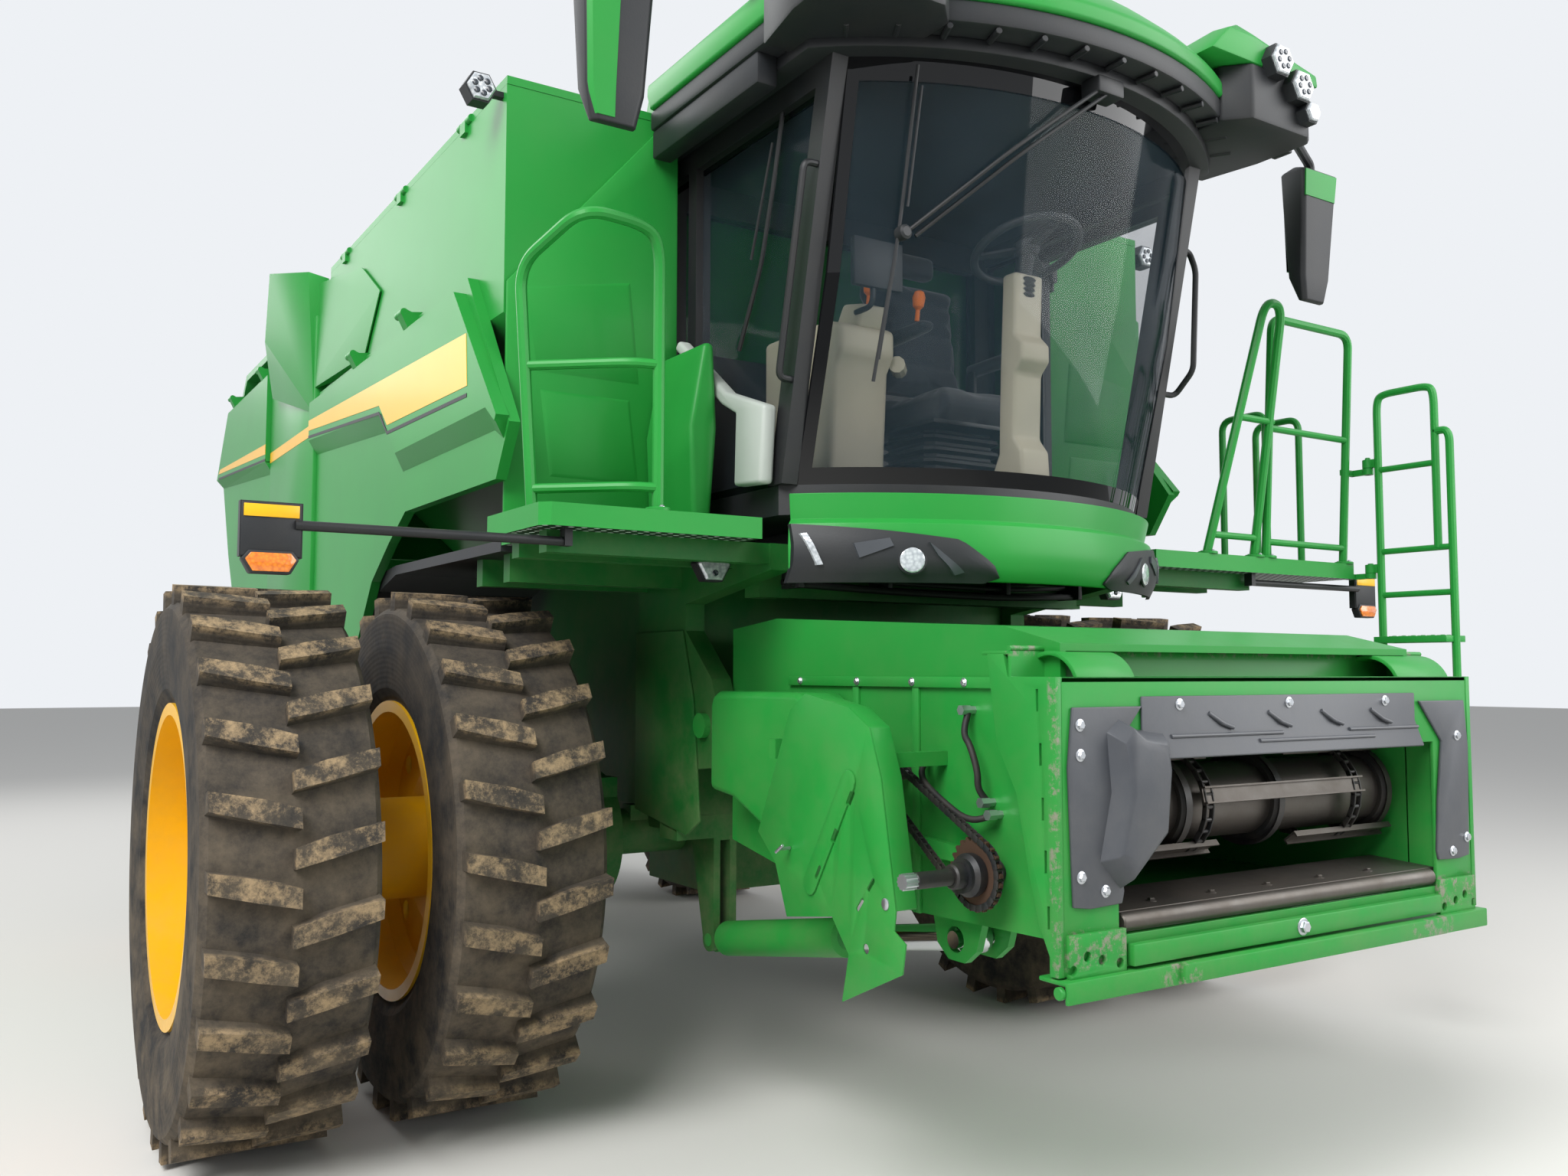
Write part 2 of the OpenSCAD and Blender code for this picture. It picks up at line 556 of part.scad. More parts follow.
// Side view of the door, inset by w
module door_shape(w) polygon([[b_pillar_x + 12 + w, cab_floor_z + 12 + w], [a_foot - 8 - w * 0.8, cab_floor_z + 12 + w],
  [a_head - 24 - w * 1.25, cab_top_z - 92 - w], [b_pillar_x + 12 + w, cab_top_z - 92 - w]]);
module cab_door() color(black) at_axle() {
  side_plate(door_y0, door_y1) difference() {
    door_shape(0);
    door_shape(55);
  }
  for (z = door_hinge_zs) difference() {
    union() {
      box([b_pillar_x + 20, door_y1 - 5, z], [door_hinge_x + 40, door_hinge_y, z + 70]);
      translate([door_hinge_x, door_hinge_y, z]) cylinder(h = 70, r = 14, $fn = 32);
    }
    translate([door_hinge_x, door_hinge_y, z - 10]) cylinder(h = 100, r = 7.05, $fn = 32);
  }
}
module door_glass() color("#9fb8c4", 0.35) at_axle()
  side_plate(cab_half_w - glass_in - glass_t, cab_half_w - glass_in) door_shape(55.3);

// Roof

module roof_plan(grow) union() {
  intersection() {
    translate([glass_x, 0]) circle(r = roof_r + grow, $fn = 128);
    translate([745 - grow, -1050 - grow]) square([3000, 2100 + 2 * grow]);
  }
  translate([cab_rear_x - 20 - grow, 30 - recess_half_w]) square([400, 2 * recess_half_w - 60]);
  for (s = [0, 1]) mirror([0, s])
    polygon([[1500, 1050 + grow], [1500, 700], [1990 + grow, 740], [2100 + grow, 860], [2080 + grow, 1010 + grow], [1900, 1050 + grow]]);
}
module roof_liner() color(black) at_axle() {
  level_plate(cab_top_z, 3740) roof_plan(0);
  both_sides() box([745, 960, 3560], [1500, 1040, 3621]);
}
module roof_cap() color(green) at_axle() intersection() {
  level_plate(3740.3, 4000) roof_plan(10);
  side_plate(-1100, 1100) polygon([[400, 3740], [400, 3900], [560, 4000], [1700, 4000], [2000, 3960], [2130, 3860], [2130, 3740]]);
  cross_plate(300, 2300) polygon([[-1100, 3740], [-1060, 3850], [-860, 4000], [860, 4000], [1060, 3850], [1100, 3740]]);
}

module mirrors() color(black) at_axle() both_sides() {
  tube([[1900, 1062, 3690], [1890, 1180, 3770], [1720, 1600, 3790], [1700, 1600, 3740]], 22);
  box([1860, 1050.3, 3650], [1940, 1075, 3730]);
  side_plate(1500, 1700) polygon([[1640, 3210], [1700, 3220], [1750, 3740], [1700, 3760], [1640, 3740]]);
}

module lamps() color("#e8ecec") at_axle() both_sides() {
  cross_plate(2110.3, 2130) translate([860, 3745]) square([120, 90]);
}

module wipers() color(black) at_axle() {
  box([1975, -60, 3560], [2060, 60, cab_top_z - seat_gap]);
  for (y = [-30, 30]) tube([[2050, y, 3590], [1955, y - 330, 3330], [1765, y - 625, 3050]], 9);
  tube([[1860, -660, 3570], [1765, -665, 3060], [1640, -680, 2590]], 11);
}

// Inside the cab

module seat() color("#232529") at_axle() {
  box([1000, -180, cab_floor_z + seat_gap], [1300, 180, 2560]);
  box([960, -250, 2560], [1460, 250, 2700]);
  side_plate(-240, 240) polygon([[960, 2700], [1080, 2700], [1000, 3340], [880, 3340]]);
}
module console() color("#b5b09a") at_axle() {
  box([900, -640, cab_floor_z + seat_gap], [1400, -400, 2860]);
}
module steering_column() color("#b5b09a") at_axle() {
  box([1560, -60, cab_floor_z + seat_gap], [1640, 60, 2340]);
  bar([1600, 0, 2330], [1640, 0, 3150], 50);
  translate([1640, 0, 3150]) rotate([0, -20, 0]) rotate_extrude($fn = 64) translate([190, 0]) circle(r = 16, $fn = 32);
  translate([1640, 0, 3150]) rotate([0, -20, 0]) for (a = [0, 120, 240]) rotate([0, 0, a]) box([0, -15, -8], [190, 15, 8]);
}

// Platforms, rails and ladder

deck_in = cab_half_w + 75;
deck_rear = 720;
right_deck_y = 1720;
left_deck_y = 2300;
right_deck = [[deck_rear + seat_gap, deck_in], [1400, deck_in], [1400, right_deck_y - 30], [1370, right_deck_y],
  [930, right_deck_y], [930, body_half_w - run_gap], [deck_rear + seat_gap, body_half_w - run_gap]];
left_deck = [[deck_rear + seat_gap, deck_in], [1380, deck_in], [1380, left_deck_y], [930, left_deck_y],
  [930, body_half_w - run_gap], [deck_rear + seat_gap, body_half_w - run_gap]];
module platforms() color(green) at_axle() {
  level_plate(deck_z - deck_t, deck_z) mirror([0, 1]) polygon(right_deck);
  level_plate(deck_z - deck_t, deck_z) polygon(left_deck);
  box([1330, left_deck_y - 10, deck_z - deck_t], [1370, ladder_y + 12, deck_z - 45 - seat_gap]);
  box([1330, ladder_y - 12, deck_z - deck_t], [ladder_x, ladder_y + 12, deck_z - 45 - seat_gap]);
  translate([ladder_x, ladder_y, deck_z - deck_t]) cylinder(h = deck_t - 45 - seat_gap, r = 24, $fn = 32);
  translate([ladder_x, ladder_y, deck_z - deck_t]) cylinder(h = 70, r = 12, $fn = 32);
}

module handrails() color(green) at_axle() {
  on_side(true) {
    tube([[1380, 1330, deck_z + seat_gap], [1380, 1330, 3000], [1330, 1380, 3050], [1000, 1690, 3050], [960, 1700, 2980], [960, 1700, deck_z + seat_gap]], rail_r);
  }
  tube([[1360, 2270, deck_z + seat_gap], [1360, 2270, 3240]], rail_r);
  for (z = [2595]) {
    box([1350, 2262, z - 30], [1370, ladder_y + 12, z - seat_gap]);
    box([1350, ladder_y - 12, z - 30], [ladder_x, ladder_y + 12, z - seat_gap]);
    translate([ladder_x, ladder_y, z - 30]) cylinder(h = 30 - seat_gap, r = 24, $fn = 32);
    translate([ladder_x, ladder_y, z - 30]) cylinder(h = 80, r = 12, $fn = 32);
  }
}

ladder_x = 1440;
ladder_y = 2340;
ladder_w = 340;
ladder_reach = 52;     // from the hinge pins to the first stile
ladder_hinge_zs = [2105, 2595];
module ladder() color(green) at_axle() {
  for (x = [ladder_x + ladder_reach, ladder_x + ladder_reach + ladder_w])
    tube([[x, ladder_y, 640], [x, ladder_y, 3060]], 17);
  for (z = [660, 940, 1220, 1500, 1780])
    box([ladder_x + ladder_reach, ladder_y - 75, z], [ladder_x + ladder_reach + ladder_w, ladder_y + 75, z + 28]);
  bar([ladder_x + ladder_reach, ladder_y, 3050], [ladder_x + ladder_reach + ladder_w, ladder_y, 3050], 17);
  bar([ladder_x + ladder_reach, ladder_y, 2600], [ladder_x + ladder_reach + ladder_w, ladder_y, 2600], 14);
  for (z = ladder_hinge_zs) difference() {
    union() {
      translate([ladder_x, ladder_y, z]) cylinder(h = 40, r = 24, $fn = 32);
      box([ladder_x, ladder_y - 12, z], [ladder_x + ladder_reach, ladder_y + 12, z + 40]);
    }
    translate([ladder_x, ladder_y, z - 10]) cylinder(h = 60, r = 12.05, $fn = 32);
  }
}

module marker_arms() color(black) at_axle() both_sides() {
  cross_bar(1330, deck_z - deck_t - 40, right_deck_y - 100, right_deck_y + 680, 14);
  box([1310, right_deck_y - 120, deck_z - deck_t - 54], [1350, right_deck_y - 95, deck_z - deck_t - seat_gap]);
  box([1300, right_deck_y + 660, 1950], [1330, right_deck_y + 820, 2100]);
}

// Unloading auger

turret_x = 250;
turret_y = body_half_w + 260;
turret_z = 3230;
module auger_turret() color(green) at_axle() {
  translate([turret_x, turret_y, shield_top + 10]) cylinder(h = turret_z - shield_top - 10, r = 200, $fn = 64);
  box([turret_x - 150, body_half_w, shield_top + 10], [turret_x + 150, turret_y, turret_z - 10]);
}
auger_axis_up = 190;
spout_r = auger_r + 8;
spout_drop = 330;
module auger_end() translate([0, 0, auger_axis_up]) rotate([0, auger_rise, 0]) translate([-auger_len + spout_r, 0, 0])
  rotate([0, -auger_rise, 0]) children();
module unloading_auger() color(green) at_axle() translate([turret_x, turret_y, turret_z + seat_gap]) {
  cylinder(h = 120, r = 200, $fn = 64);
  difference() {
    union() {
      translate([0, 0, 120]) cylinder(h = 120, r = 190, $fn = 64);
      translate([0, 0, auger_axis_up]) rotate([0, -90 + auger_rise, 0]) cylinder(h = auger_len - spout_r, r = auger_r, $fn = 64);
      auger_end() sphere(r = spout_r, $fn = 64);
      auger_end() translate([0, 0, -spout_drop]) cylinder(h = spout_drop, r = spout_r - 1, $fn = 64);
    }
    auger_end() translate([0, 0, -spout_drop - 10]) cylinder(h = spout_drop + 70, r = auger_r - 12, $fn = 64);
  }
}

// Feeder house, drawn raised as the machine stands

module feeder_house() color(green) at_axle() {
  both_sides() {
    side_plate(feeder_half_w - feeder_t, feeder_half_w)
      polygon([[900, 1040], [1500, 935], [2560, 960], [2560, 1720], [2350, 1770], [1200, 1830], [900, 1800]]);
    cross_bar(lift_x, lift_z, feeder_half_w - 1, 885, lift_pin_r);
    side_plate(feeder_half_w - feeder_t, feeder_half_w) polygon([[790, 1400], [905, 1350], [905, 1550], [790, 1500]]);
    for (y = [cyl_y - 71, cyl_y + 46]) side_plate(y, y + 25) difference() {
      polygon([[1980, 951], [2000, 860], [2050, 820], [2120, 820], [2170, 860], [2200, 951]]);
      translate([2080, 880]) circle(r = 37, $fn = 48);
    }
  }
  side_plate(-feeder_half_w + 1, feeder_half_w - 1)
    polygon([[900, 1780], [1200, 1810], [2350, 1750], [2560, 1700], [2560, 1720], [2350, 1770], [1200, 1830], [900, 1800]]);
  side_plate(-feeder_half_w + 1, feeder_half_w - 1)
    polygon([[900, 1040], [1500, 935], [2560, 960], [2560, 980], [1500, 955], [900, 1060]]);
}

module feeder_face() color(green) at_axle() {
  cross_plate(2560.3, 2630) difference() {
    translate([-870, 900]) square([1740, 760]);
    translate([-690, 1020]) square([1380, 510]);
  }
  cross_bar(2680, 1750, -870, 870, 18);
  side_plate(-870, 870) polygon([[2560.3, 1659], [2560.3, 1740], [2640, 1780], [2700, 1740], [2670, 1720], [2630, 1740], [2600, 1659]]);
  side_plate(-870, 870) polygon([[2580, 901], [2640, 901], [2720, 880], [2720, 840], [2580, 840]]);
}

module feeder_conveyor() color("#6d6f70") at_axle() {
  cross_bar(2350, 1300, -feeder_half_w + feeder_t + seat_gap, feeder_half_w - feeder_t - seat_gap, 35);
  cross_bar(2350, 1300, -620, 620, drum_r);
}

drive_x = 2320;
drive_z = 1107;
shaft_end = 1100;
shaft_len = 160;
shaft_r = 22;
module feeder_drive() color("#4a4d50") at_axle() on_side(true) {
  cross_bar(drive_x, drive_z, feeder_half_w + seat_gap, shaft_end - shaft_len, 34);
  cross_bar(drive_x, drive_z, shaft_end - shaft_len - 1, shaft_end, shaft_r);
  cross_bar(drive_x, drive_z, 840, 860, 105);
  cross_bar(1925, 1351, feeder_half_w + seat_gap, 880, 25);
  cross_bar(1925, 1351, 840, 860, 60);
}

module feeder_guard() color(green) at_axle() on_side(true) {
  side_plate(1045, 1055) polygon([[1680, 1633], [1430, 1290], [1910, 785], [2170, 1030], [2030, 1617]]);
  box([1500, feeder_half_w + seat_gap, 1250], [1600, 1046, 1500]);
}

// Lift cylinders

base_eye = [600, 620];
base_pin_r = 24;
rod_eye = [2080, 880];
cyl_len = norm(rod_eye - base_eye);
cyl_tilt = atan2(rod_eye[1] - base_eye[1], rod_eye[0] - base_eye[0]);
module along_cylinder() both_sides() translate([base_eye[0], cyl_y, base_eye[1]]) rotate([0, 90 - cyl_tilt, 0]) children();
module lift_barrels() color(green) at_axle() {
  along_cylinder() difference() {
    union() {
      rotate([90, 0, 0]) cylinder(h = 36, r = 50, center = true, $fn = 48);
      translate([0, 0, 20]) cylinder(h = 60, r = 17, $fn = 48);
      translate([0, 0, 75]) cylinder(h = 785, r = barrel_r, $fn = 48);
      rotate([90, 0, 0]) cylinder(h = 106, r = base_pin_r, center = true, $fn = 48);
    }
    translate([0, 0, 120]) cylinder(h = 800, r = rod_r + 0.05, $fn = 48);
  }
}
module lift_rods() color("#c8ccd0") at_axle() along_cylinder() {
  translate([0, 0, 480]) cylinder(h = cyl_len - 480 - 30, r = rod_r, $fn = 48);
  translate([0, 0, cyl_len]) rotate([90, 0, 0]) cylinder(h = 60, r = 48, center = true, $fn = 48);
  translate([0, 0, cyl_len]) rotate([90, 0, 0]) cylinder(h = 160, r = 25, center = true, $fn = 48);
}

main_frame();
separator_body();
front_axle();
rear_axle();
engine();
grain_tank();
tank_cover(false);  // tank_cover_left
tank_cover(true);  // tank_cover_right
rear_hood();
air_scoops();
chopper();
cab_base();
cab_skirt();
cab_frame();
cab_glass();
windshield();
roof_liner();
roof_cap();
cab_door();
door_glass();
seat();
console();
steering_column();
wipers();
mirrors();
lamps();
platforms();
handrails();
ladder();
marker_arms();
wheel_arches();
shield_front(false);  // shield_front_left
shield_front(true);  // shield_front_right
shield_rear(false);  // shield_rear_left
shield_rear(true);  // shield_rear_right
auger_turret();
unloading_auger();
front_tyres(false);  // tyres_front_left
front_tyres(true);  // tyres_front_right
front_rims(false);  // rims_front_left
front_rims(true);  // rims_front_right
knuckle(false);  // knuckle_left
knuckle(true);  // knuckle_right
tie_rod();
rear_tyre(false);  // tyre_rear_left
rear_tyre(true);  // tyre_rear_right
rear_rim(false);  // rim_rear_left
rear_rim(true);  // rim_rear_right
feeder_house();
feeder_face();
feeder_conveyor();
feeder_drive();
feeder_guard();
lift_barrels();
lift_rods();
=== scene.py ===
"""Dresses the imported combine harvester: finishes on every part, finer pieces and hardware, and the studio."""
from __future__ import annotations

import json
import logging
import math
from collections.abc import Sequence
from dataclasses import dataclass
from enum import Enum
from itertools import chain

import bpy
from mathutils import Matrix, Vector

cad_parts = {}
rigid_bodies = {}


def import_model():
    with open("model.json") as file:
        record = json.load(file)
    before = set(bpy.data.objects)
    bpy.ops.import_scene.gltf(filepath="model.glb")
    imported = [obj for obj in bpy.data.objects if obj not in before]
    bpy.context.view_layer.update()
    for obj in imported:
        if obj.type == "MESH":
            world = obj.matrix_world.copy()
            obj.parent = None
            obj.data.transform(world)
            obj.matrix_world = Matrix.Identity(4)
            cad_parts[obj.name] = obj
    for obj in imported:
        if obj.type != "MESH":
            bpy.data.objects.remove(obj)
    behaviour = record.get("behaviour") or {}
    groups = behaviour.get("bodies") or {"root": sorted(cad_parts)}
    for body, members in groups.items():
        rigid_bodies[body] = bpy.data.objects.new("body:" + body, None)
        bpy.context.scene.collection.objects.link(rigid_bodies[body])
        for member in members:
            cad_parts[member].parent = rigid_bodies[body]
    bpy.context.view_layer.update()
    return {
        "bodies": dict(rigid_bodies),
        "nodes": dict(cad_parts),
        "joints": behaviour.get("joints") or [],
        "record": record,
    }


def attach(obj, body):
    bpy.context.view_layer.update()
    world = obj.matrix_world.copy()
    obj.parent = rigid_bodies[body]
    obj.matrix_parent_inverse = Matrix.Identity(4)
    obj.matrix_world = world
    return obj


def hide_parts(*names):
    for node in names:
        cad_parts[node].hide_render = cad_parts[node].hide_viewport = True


LOG = logging.getLogger("combine")
Flat = tuple[float, float]
Point = tuple[float, float, float]
Outline, Route = tuple[Flat, ...], tuple[Point, ...]
Piece, Socket = bpy.types.Object, bpy.types.NodeSocket

FRONT_AXLE_X = 1.5
SIDES = ((1, "left"), (-1, "right"))
FORWARD, LEFT, RIGHT, UP = (Vector(v) for v in ((1, 0, 0), (0, 1, 0), (0, -1, 0), (0, 0, 1)))


def mm(x: float, y: float, z: float) -> Vector:
    """Gives a point in metres from millimetres measured from the front axle.

    Args:
        x: Distance ahead of the front axle.
        y: Distance to the left of the middle.
        z: Height over the floor.

    Returns:
        The point in the machine's frame.
    """
    return Vector((x / 1000 + FRONT_AXLE_X, y / 1000, z / 1000))


def linear(hex_colour: str) -> tuple[float, float, float, float]:
    """Turns an sRGB hex value to the linear colour that the shaders take.

    Args:
        hex_colour: Six digits after a hash sign.

    Returns:
        Linear red, green, blue and an alpha of 1.
    """
    parts = [int(hex_colour[i:i + 2], 16) / 255 for i in (1, 3, 5)]
    return (*(c / 12.92 if c <= 0.04045 else ((c + 0.055) / 1.055) ** 2.4 for c in parts), 1.0)


def feed(tree: bpy.types.NodeTree, node: bpy.types.Node, inputs: dict) -> None:
    """Sets or links a node's inputs.

    Args:
        tree: Node tree of the material.
        node: The node.
        inputs: Value or output socket for each named or numbered input.
    """
    for key, value in inputs.items():
        if isinstance(value, Socket):
            tree.links.new(value, node.inputs[key])
        else:
            node.inputs[key].default_value = value


def add_node(tree: bpy.types.NodeTree, kind: str, inputs: dict | None = None, **settings: object) -> bpy.types.Node:
    """Adds a shader node with its settings, values and links.

    Args:
        tree: Node tree of the material.
        kind: Type name of the node.
        inputs: Value or output socket for each named or numbered input.
        **settings: Properties of the node itself.

    Returns:
        The new node.
    """
    node = tree.nodes.new(kind)
    for key, value in settings.items():
        setattr(node, key, value)
    feed(tree, node, inputs or {})
    return node


@dataclass(frozen=True)
class Mixer:
    """The node moves that the finishes share. Each gives the output of the node that it adds."""

    tree: bpy.types.NodeTree

    def place(self) -> Socket:
        """Gives the Object coordinates."""
        return add_node(self.tree, "ShaderNodeTexCoord").outputs["Object"]

    def parts(self, vector: Socket) -> tuple[Socket, ...]:
        """Splits a vector into its three numbers."""
        return tuple(add_node(self.tree, "ShaderNodeSeparateXYZ", {0: vector}).outputs)

    def noise(self, place: Socket, scale: float, detail: float, roughness: float = 0.5) -> Socket:
        """Gives cloudy noise."""
        return add_node(self.tree, "ShaderNodeTexNoise", {"Vector": place, "Scale": scale, "Detail": detail,
                                                          "Roughness": roughness}).outputs["Fac"]

    def remap(self, value: Socket, start: float, end: float, low: float, high: float) -> Socket:
        """Takes a number from the range of start and end to that of low and high."""
        return add_node(self.tree, "ShaderNodeMapRange", {0: value, 1: start, 2: end, 3: low, 4: high}).outputs[0]

    def number(self, operation: str, *values: Socket | float) -> Socket:
        """Calculates with numbers."""
        return add_node(self.tree, "ShaderNodeMath", dict(enumerate(values)), operation=operation).outputs[0]

    def vector(self, operation: str, *values: Socket | Sequence[float]) -> Socket:
        """Calculates with vectors, where a length or a distance comes out as a number."""
        node = add_node(self.tree, "ShaderNodeVectorMath", dict(enumerate(values)), operation=operation)
        return node.outputs["Value" if operation in ("LENGTH", "DISTANCE") else "Vector"]

    def blend(self, share: Socket, first: Socket | str, second: Socket | str) -> Socket:
        """Goes from the first colour to the second by the share. A colour is a socket or a hex value."""
        first, second = (linear(colour) if isinstance(colour, str) else colour for colour in (first, second))
        return add_node(self.tree, "ShaderNodeMix", {0: share, 6: first, 7: second}, data_type="RGBA").outputs[2]

    def bump(self, strength: float, depth_m: float, height: Socket) -> Socket:
        """Gives the normal of a relief."""
        return add_node(self.tree, "ShaderNodeBump", {"Strength": strength, "Distance": depth_m,
                                                      "Height": height}).outputs[0]


class Soil(Enum):
    """How much field dust lies on a surface: its share low down and high up."""

    NONE = (0.0, 0.0)
    LIGHT = (0.20, 0.02)
    WORKED = (0.45, 0.10)


@dataclass(frozen=True)
class Finish:
    """A surface finish with fine grain, slow colour variation and field dust on Object coordinates."""

    name: str
    slot: str
    colour: str
    shade: str
    roughness: float
    metallic: float = 0.0
    coat: float = 0.0
    gloss: float = 0.4
    grain_mm: float = 2.0
    grain_depth: float = 0.1
    soil: Soil = Soil.LIGHT
    soil_top_m: float = 2.0
    soil_colour: str = "#8d7d66"

    def material(self) -> bpy.types.Material:
        """Makes the material, or returns the one already made."""
        found = bpy.data.materials.get(self.name)
        if found:
            return found
        material = bpy.data.materials.new(self.name)
        material.use_nodes = True
        self.dress(Mixer(material.node_tree), material.node_tree.nodes["Principled BSDF"])
        return material

    def tint(self, mix: Mixer, place: Socket, colour: Socket) -> Socket:
        """Leaves the plain colour as it is; finishes with a pattern lay it here."""
        return colour

    def relief(self, mix: Mixer, place: Socket, height: Socket) -> Socket:
        """Leaves the fine grain as it is; finishes with a coarser relief add it here."""
        return height

    def dress(self, mix: Mixer, surface: bpy.types.Node) -> None:
        """Links the finish's pattern to the surface shader.

        Args:
            mix: The material's nodes.
            surface: The surface shader.
        """
        place = mix.place()
        body = mix.blend(mix.noise(place, 1.7, 5.0), self.shade, self.colour)
        fall = mix.remap(mix.parts(place)[2], 0.3, self.soil_top_m, *self.soil.value)
        patch = mix.remap(mix.noise(place, 6.0, 9.0, 0.7), 0.38, 0.68, 0.0, 1.0)
        dust = mix.number("MULTIPLY", fall, patch)
        grain = mix.noise(place, 1000 / self.grain_mm / 4, 3.0)
        feed(mix.tree, surface, {
            "Base Color": mix.blend(dust, self.tint(mix, place, body), self.soil_colour),
            "Roughness": mix.remap(dust, 0.0, 1.0, self.roughness, 0.9), "Metallic": self.metallic,
            "Coat Weight": self.coat, "Coat Roughness": 0.15, "Specular IOR Level": self.gloss,
            "Normal": mix.bump(self.grain_depth, 0.001, self.relief(mix, place, grain))})


@dataclass(frozen=True)
class WornEnamel(Finish):
    """Enamel rubbed through to the steel where the header bears on it."""

    rubbed: tuple[tuple[Point, Point], ...] = ()

    def tint(self, mix: Mixer, place: Socket, colour: Socket) -> Socket:
        """Shows browned steel in scratched patches inside each rubbed box."""
        scratch = mix.noise(place, 26.0, 8.0, 0.75)
        bare = mix.remap(scratch, 0.5, 0.6, 0.0, 0.85)
        rust = mix.blend(scratch, "#5d4a38", "#99958c")
        for low, high in self.rubbed:
            middle, half = (mm(*high) + mm(*low)) / 2, (mm(*high) - mm(*low)) / 2
            away = mix.vector("SUBTRACT", mix.vector("ABSOLUTE", mix.vector("SUBTRACT", place, middle)), half)
            x, y, z = mix.parts(away)
            near = mix.remap(mix.number("MAXIMUM", mix.number("MAXIMUM", x, y), z), 0.0, 0.01, 1.0, 0.0)
            colour = mix.blend(mix.number("MULTIPLY", near, bare), colour, rust)
        return colour


@dataclass(frozen=True)
class Tread(Finish):
    """Tyre rubber: dark ribbed sidewalls, dry soil between the lugs and sandy clods on their tips."""

    axle: Flat = (0.0, 0.0)
    reach: float = 1.0

    def radius(self, mix: Mixer, place: Socket) -> Socket:
        """Gives the distance from the wheel's axle."""
        off = mix.vector("SUBTRACT", place, (self.axle[0], 0, self.axle[1]))
        return mix.vector("LENGTH", mix.vector("MULTIPLY", off, (1, 0, 1)))

    def tint(self, mix: Mixer, place: Socket, colour: Socket) -> Socket:
        """Lays soil by the distance from the axle: a thin film on the tread, clods on the lug tips."""
        radius = self.radius(mix, place)
        clods = mix.noise(place, 11.0, 12.0, 0.82)
        layers = ((self.reach - 0.125, self.reach - 0.07, 0.36, 0.66, 0.5, "#665c4f"),
                  (self.reach - 0.035, self.reach - 0.012, 0.46, 0.60, 0.8, "#a8906e"))
        for inner, outer, thin, thick, most, soil in layers:
            share = mix.number("MULTIPLY", mix.remap(radius, inner, outer, 0.0, most),
                               mix.remap(clods, thin, thick, 0.0, 1.0))
            colour = mix.blend(share, colour, soil)
        return colour

    def relief(self, mix: Mixer, place: Socket, height: Socket) -> Socket:
        """Adds the moulded rings of the sidewall and the crust of soil."""
        rings = mix.number("SINE", mix.number("MULTIPLY", self.radius(mix, place), 330.0))
        return mix.number("ADD", mix.number("MULTIPLY_ADD", rings, 0.35, mix.noise(place, 38.0, 8.0)), height)


@dataclass(frozen=True)
class PunchedDeck(Finish):
    """Green tread plate punched with round drain holes: painted shade in the holes from above, and from below a darker
    underside in painted shade with painted sky light in the holes.
    """

    pitch_m: float = 0.042

    def tint(self, mix: Mixer, place: Socket, colour: Socket) -> Socket:
        """Draws the holes as painted shade on the upper face and as painted sky light on the lower face, and darkens
        the lower face as painted shade.
        """
        cell = mix.vector("FRACTION", mix.vector("MULTIPLY", place, (1 / self.pitch_m, 1 / self.pitch_m, 0)))
        hole = mix.remap(mix.vector("DISTANCE", cell, (0.5, 0.5, 0)), 0.2, 0.24, 1.0, 0.0)
        level = mix.parts(add_node(mix.tree, "ShaderNodeNewGeometry").outputs["Normal"])[2]
        above, below = mix.number("GREATER_THAN", level, 0.9), mix.number("LESS_THAN", level, -0.9)
        # Painted shade: the holes seen from above are dark, standing in for the shade below the deck
        colour = mix.blend(mix.number("MULTIPLY", above, hole), colour, "#10180f")
        # Painted shade on the underside, then painted sky light through its holes
        colour = mix.blend(below, colour, "#15231a")
        return mix.blend(mix.number("MULTIPLY", below, hole), colour, "#cfe3d6")


@dataclass(frozen=True)
class Glazing(Finish):
    """Tinted cab glass: clear enough to see the seat, with a black fired border."""

    border: tuple[float, float, float] = (0.0, 0.0, 0.0)

    def dress(self, mix: Mixer, surface: bpy.types.Node) -> None:
        """Makes the pane see-through, with its tint, a faint film of dust and its border."""
        place = mix.place()
        veil = mix.remap(mix.noise(place, 3.0, 6.0), 0.3, 0.7, 0.13, 0.21)
        half_w, foot, head = self.border
        _, across, height = mix.parts(place)
        edge = mix.number("MAXIMUM", mix.number("LESS_THAN", height, foot), mix.number("GREATER_THAN", height, head))
        edge = mix.number("MAXIMUM", edge, mix.number("GREATER_THAN", mix.number("ABSOLUTE", across), half_w))
        feed(mix.tree, surface, {
            "Alpha": mix.number("MAXIMUM", veil, edge), "Base Color": mix.blend(edge, self.colour, "#0b0c0e"),
            "Roughness": self.roughness, "Specular IOR Level": self.gloss})


@dataclass(frozen=True)
class Lens(Finish):
    """Clear lamp cover over a bright reflector, moulded in small prisms."""

    def dress(self, mix: Mixer, surface: bpy.types.Node) -> None:
        """Gives the lens its prisms and a bright silvered look."""
        prism = add_node(mix.tree, "ShaderNodeTexVoronoi", {"Vector": mix.place(), "Scale": 1000 / self.grain_mm})
        cells = prism.outputs["Distance"]
        feed(mix.tree, surface, {
            "Base Color": mix.blend(cells, self.colour, self.shade), "Metallic": self.metallic,
            "Roughness": self.roughness, "Coat Weight": 1.0, "Normal": mix.bump(0.4, 0.002, cells)})


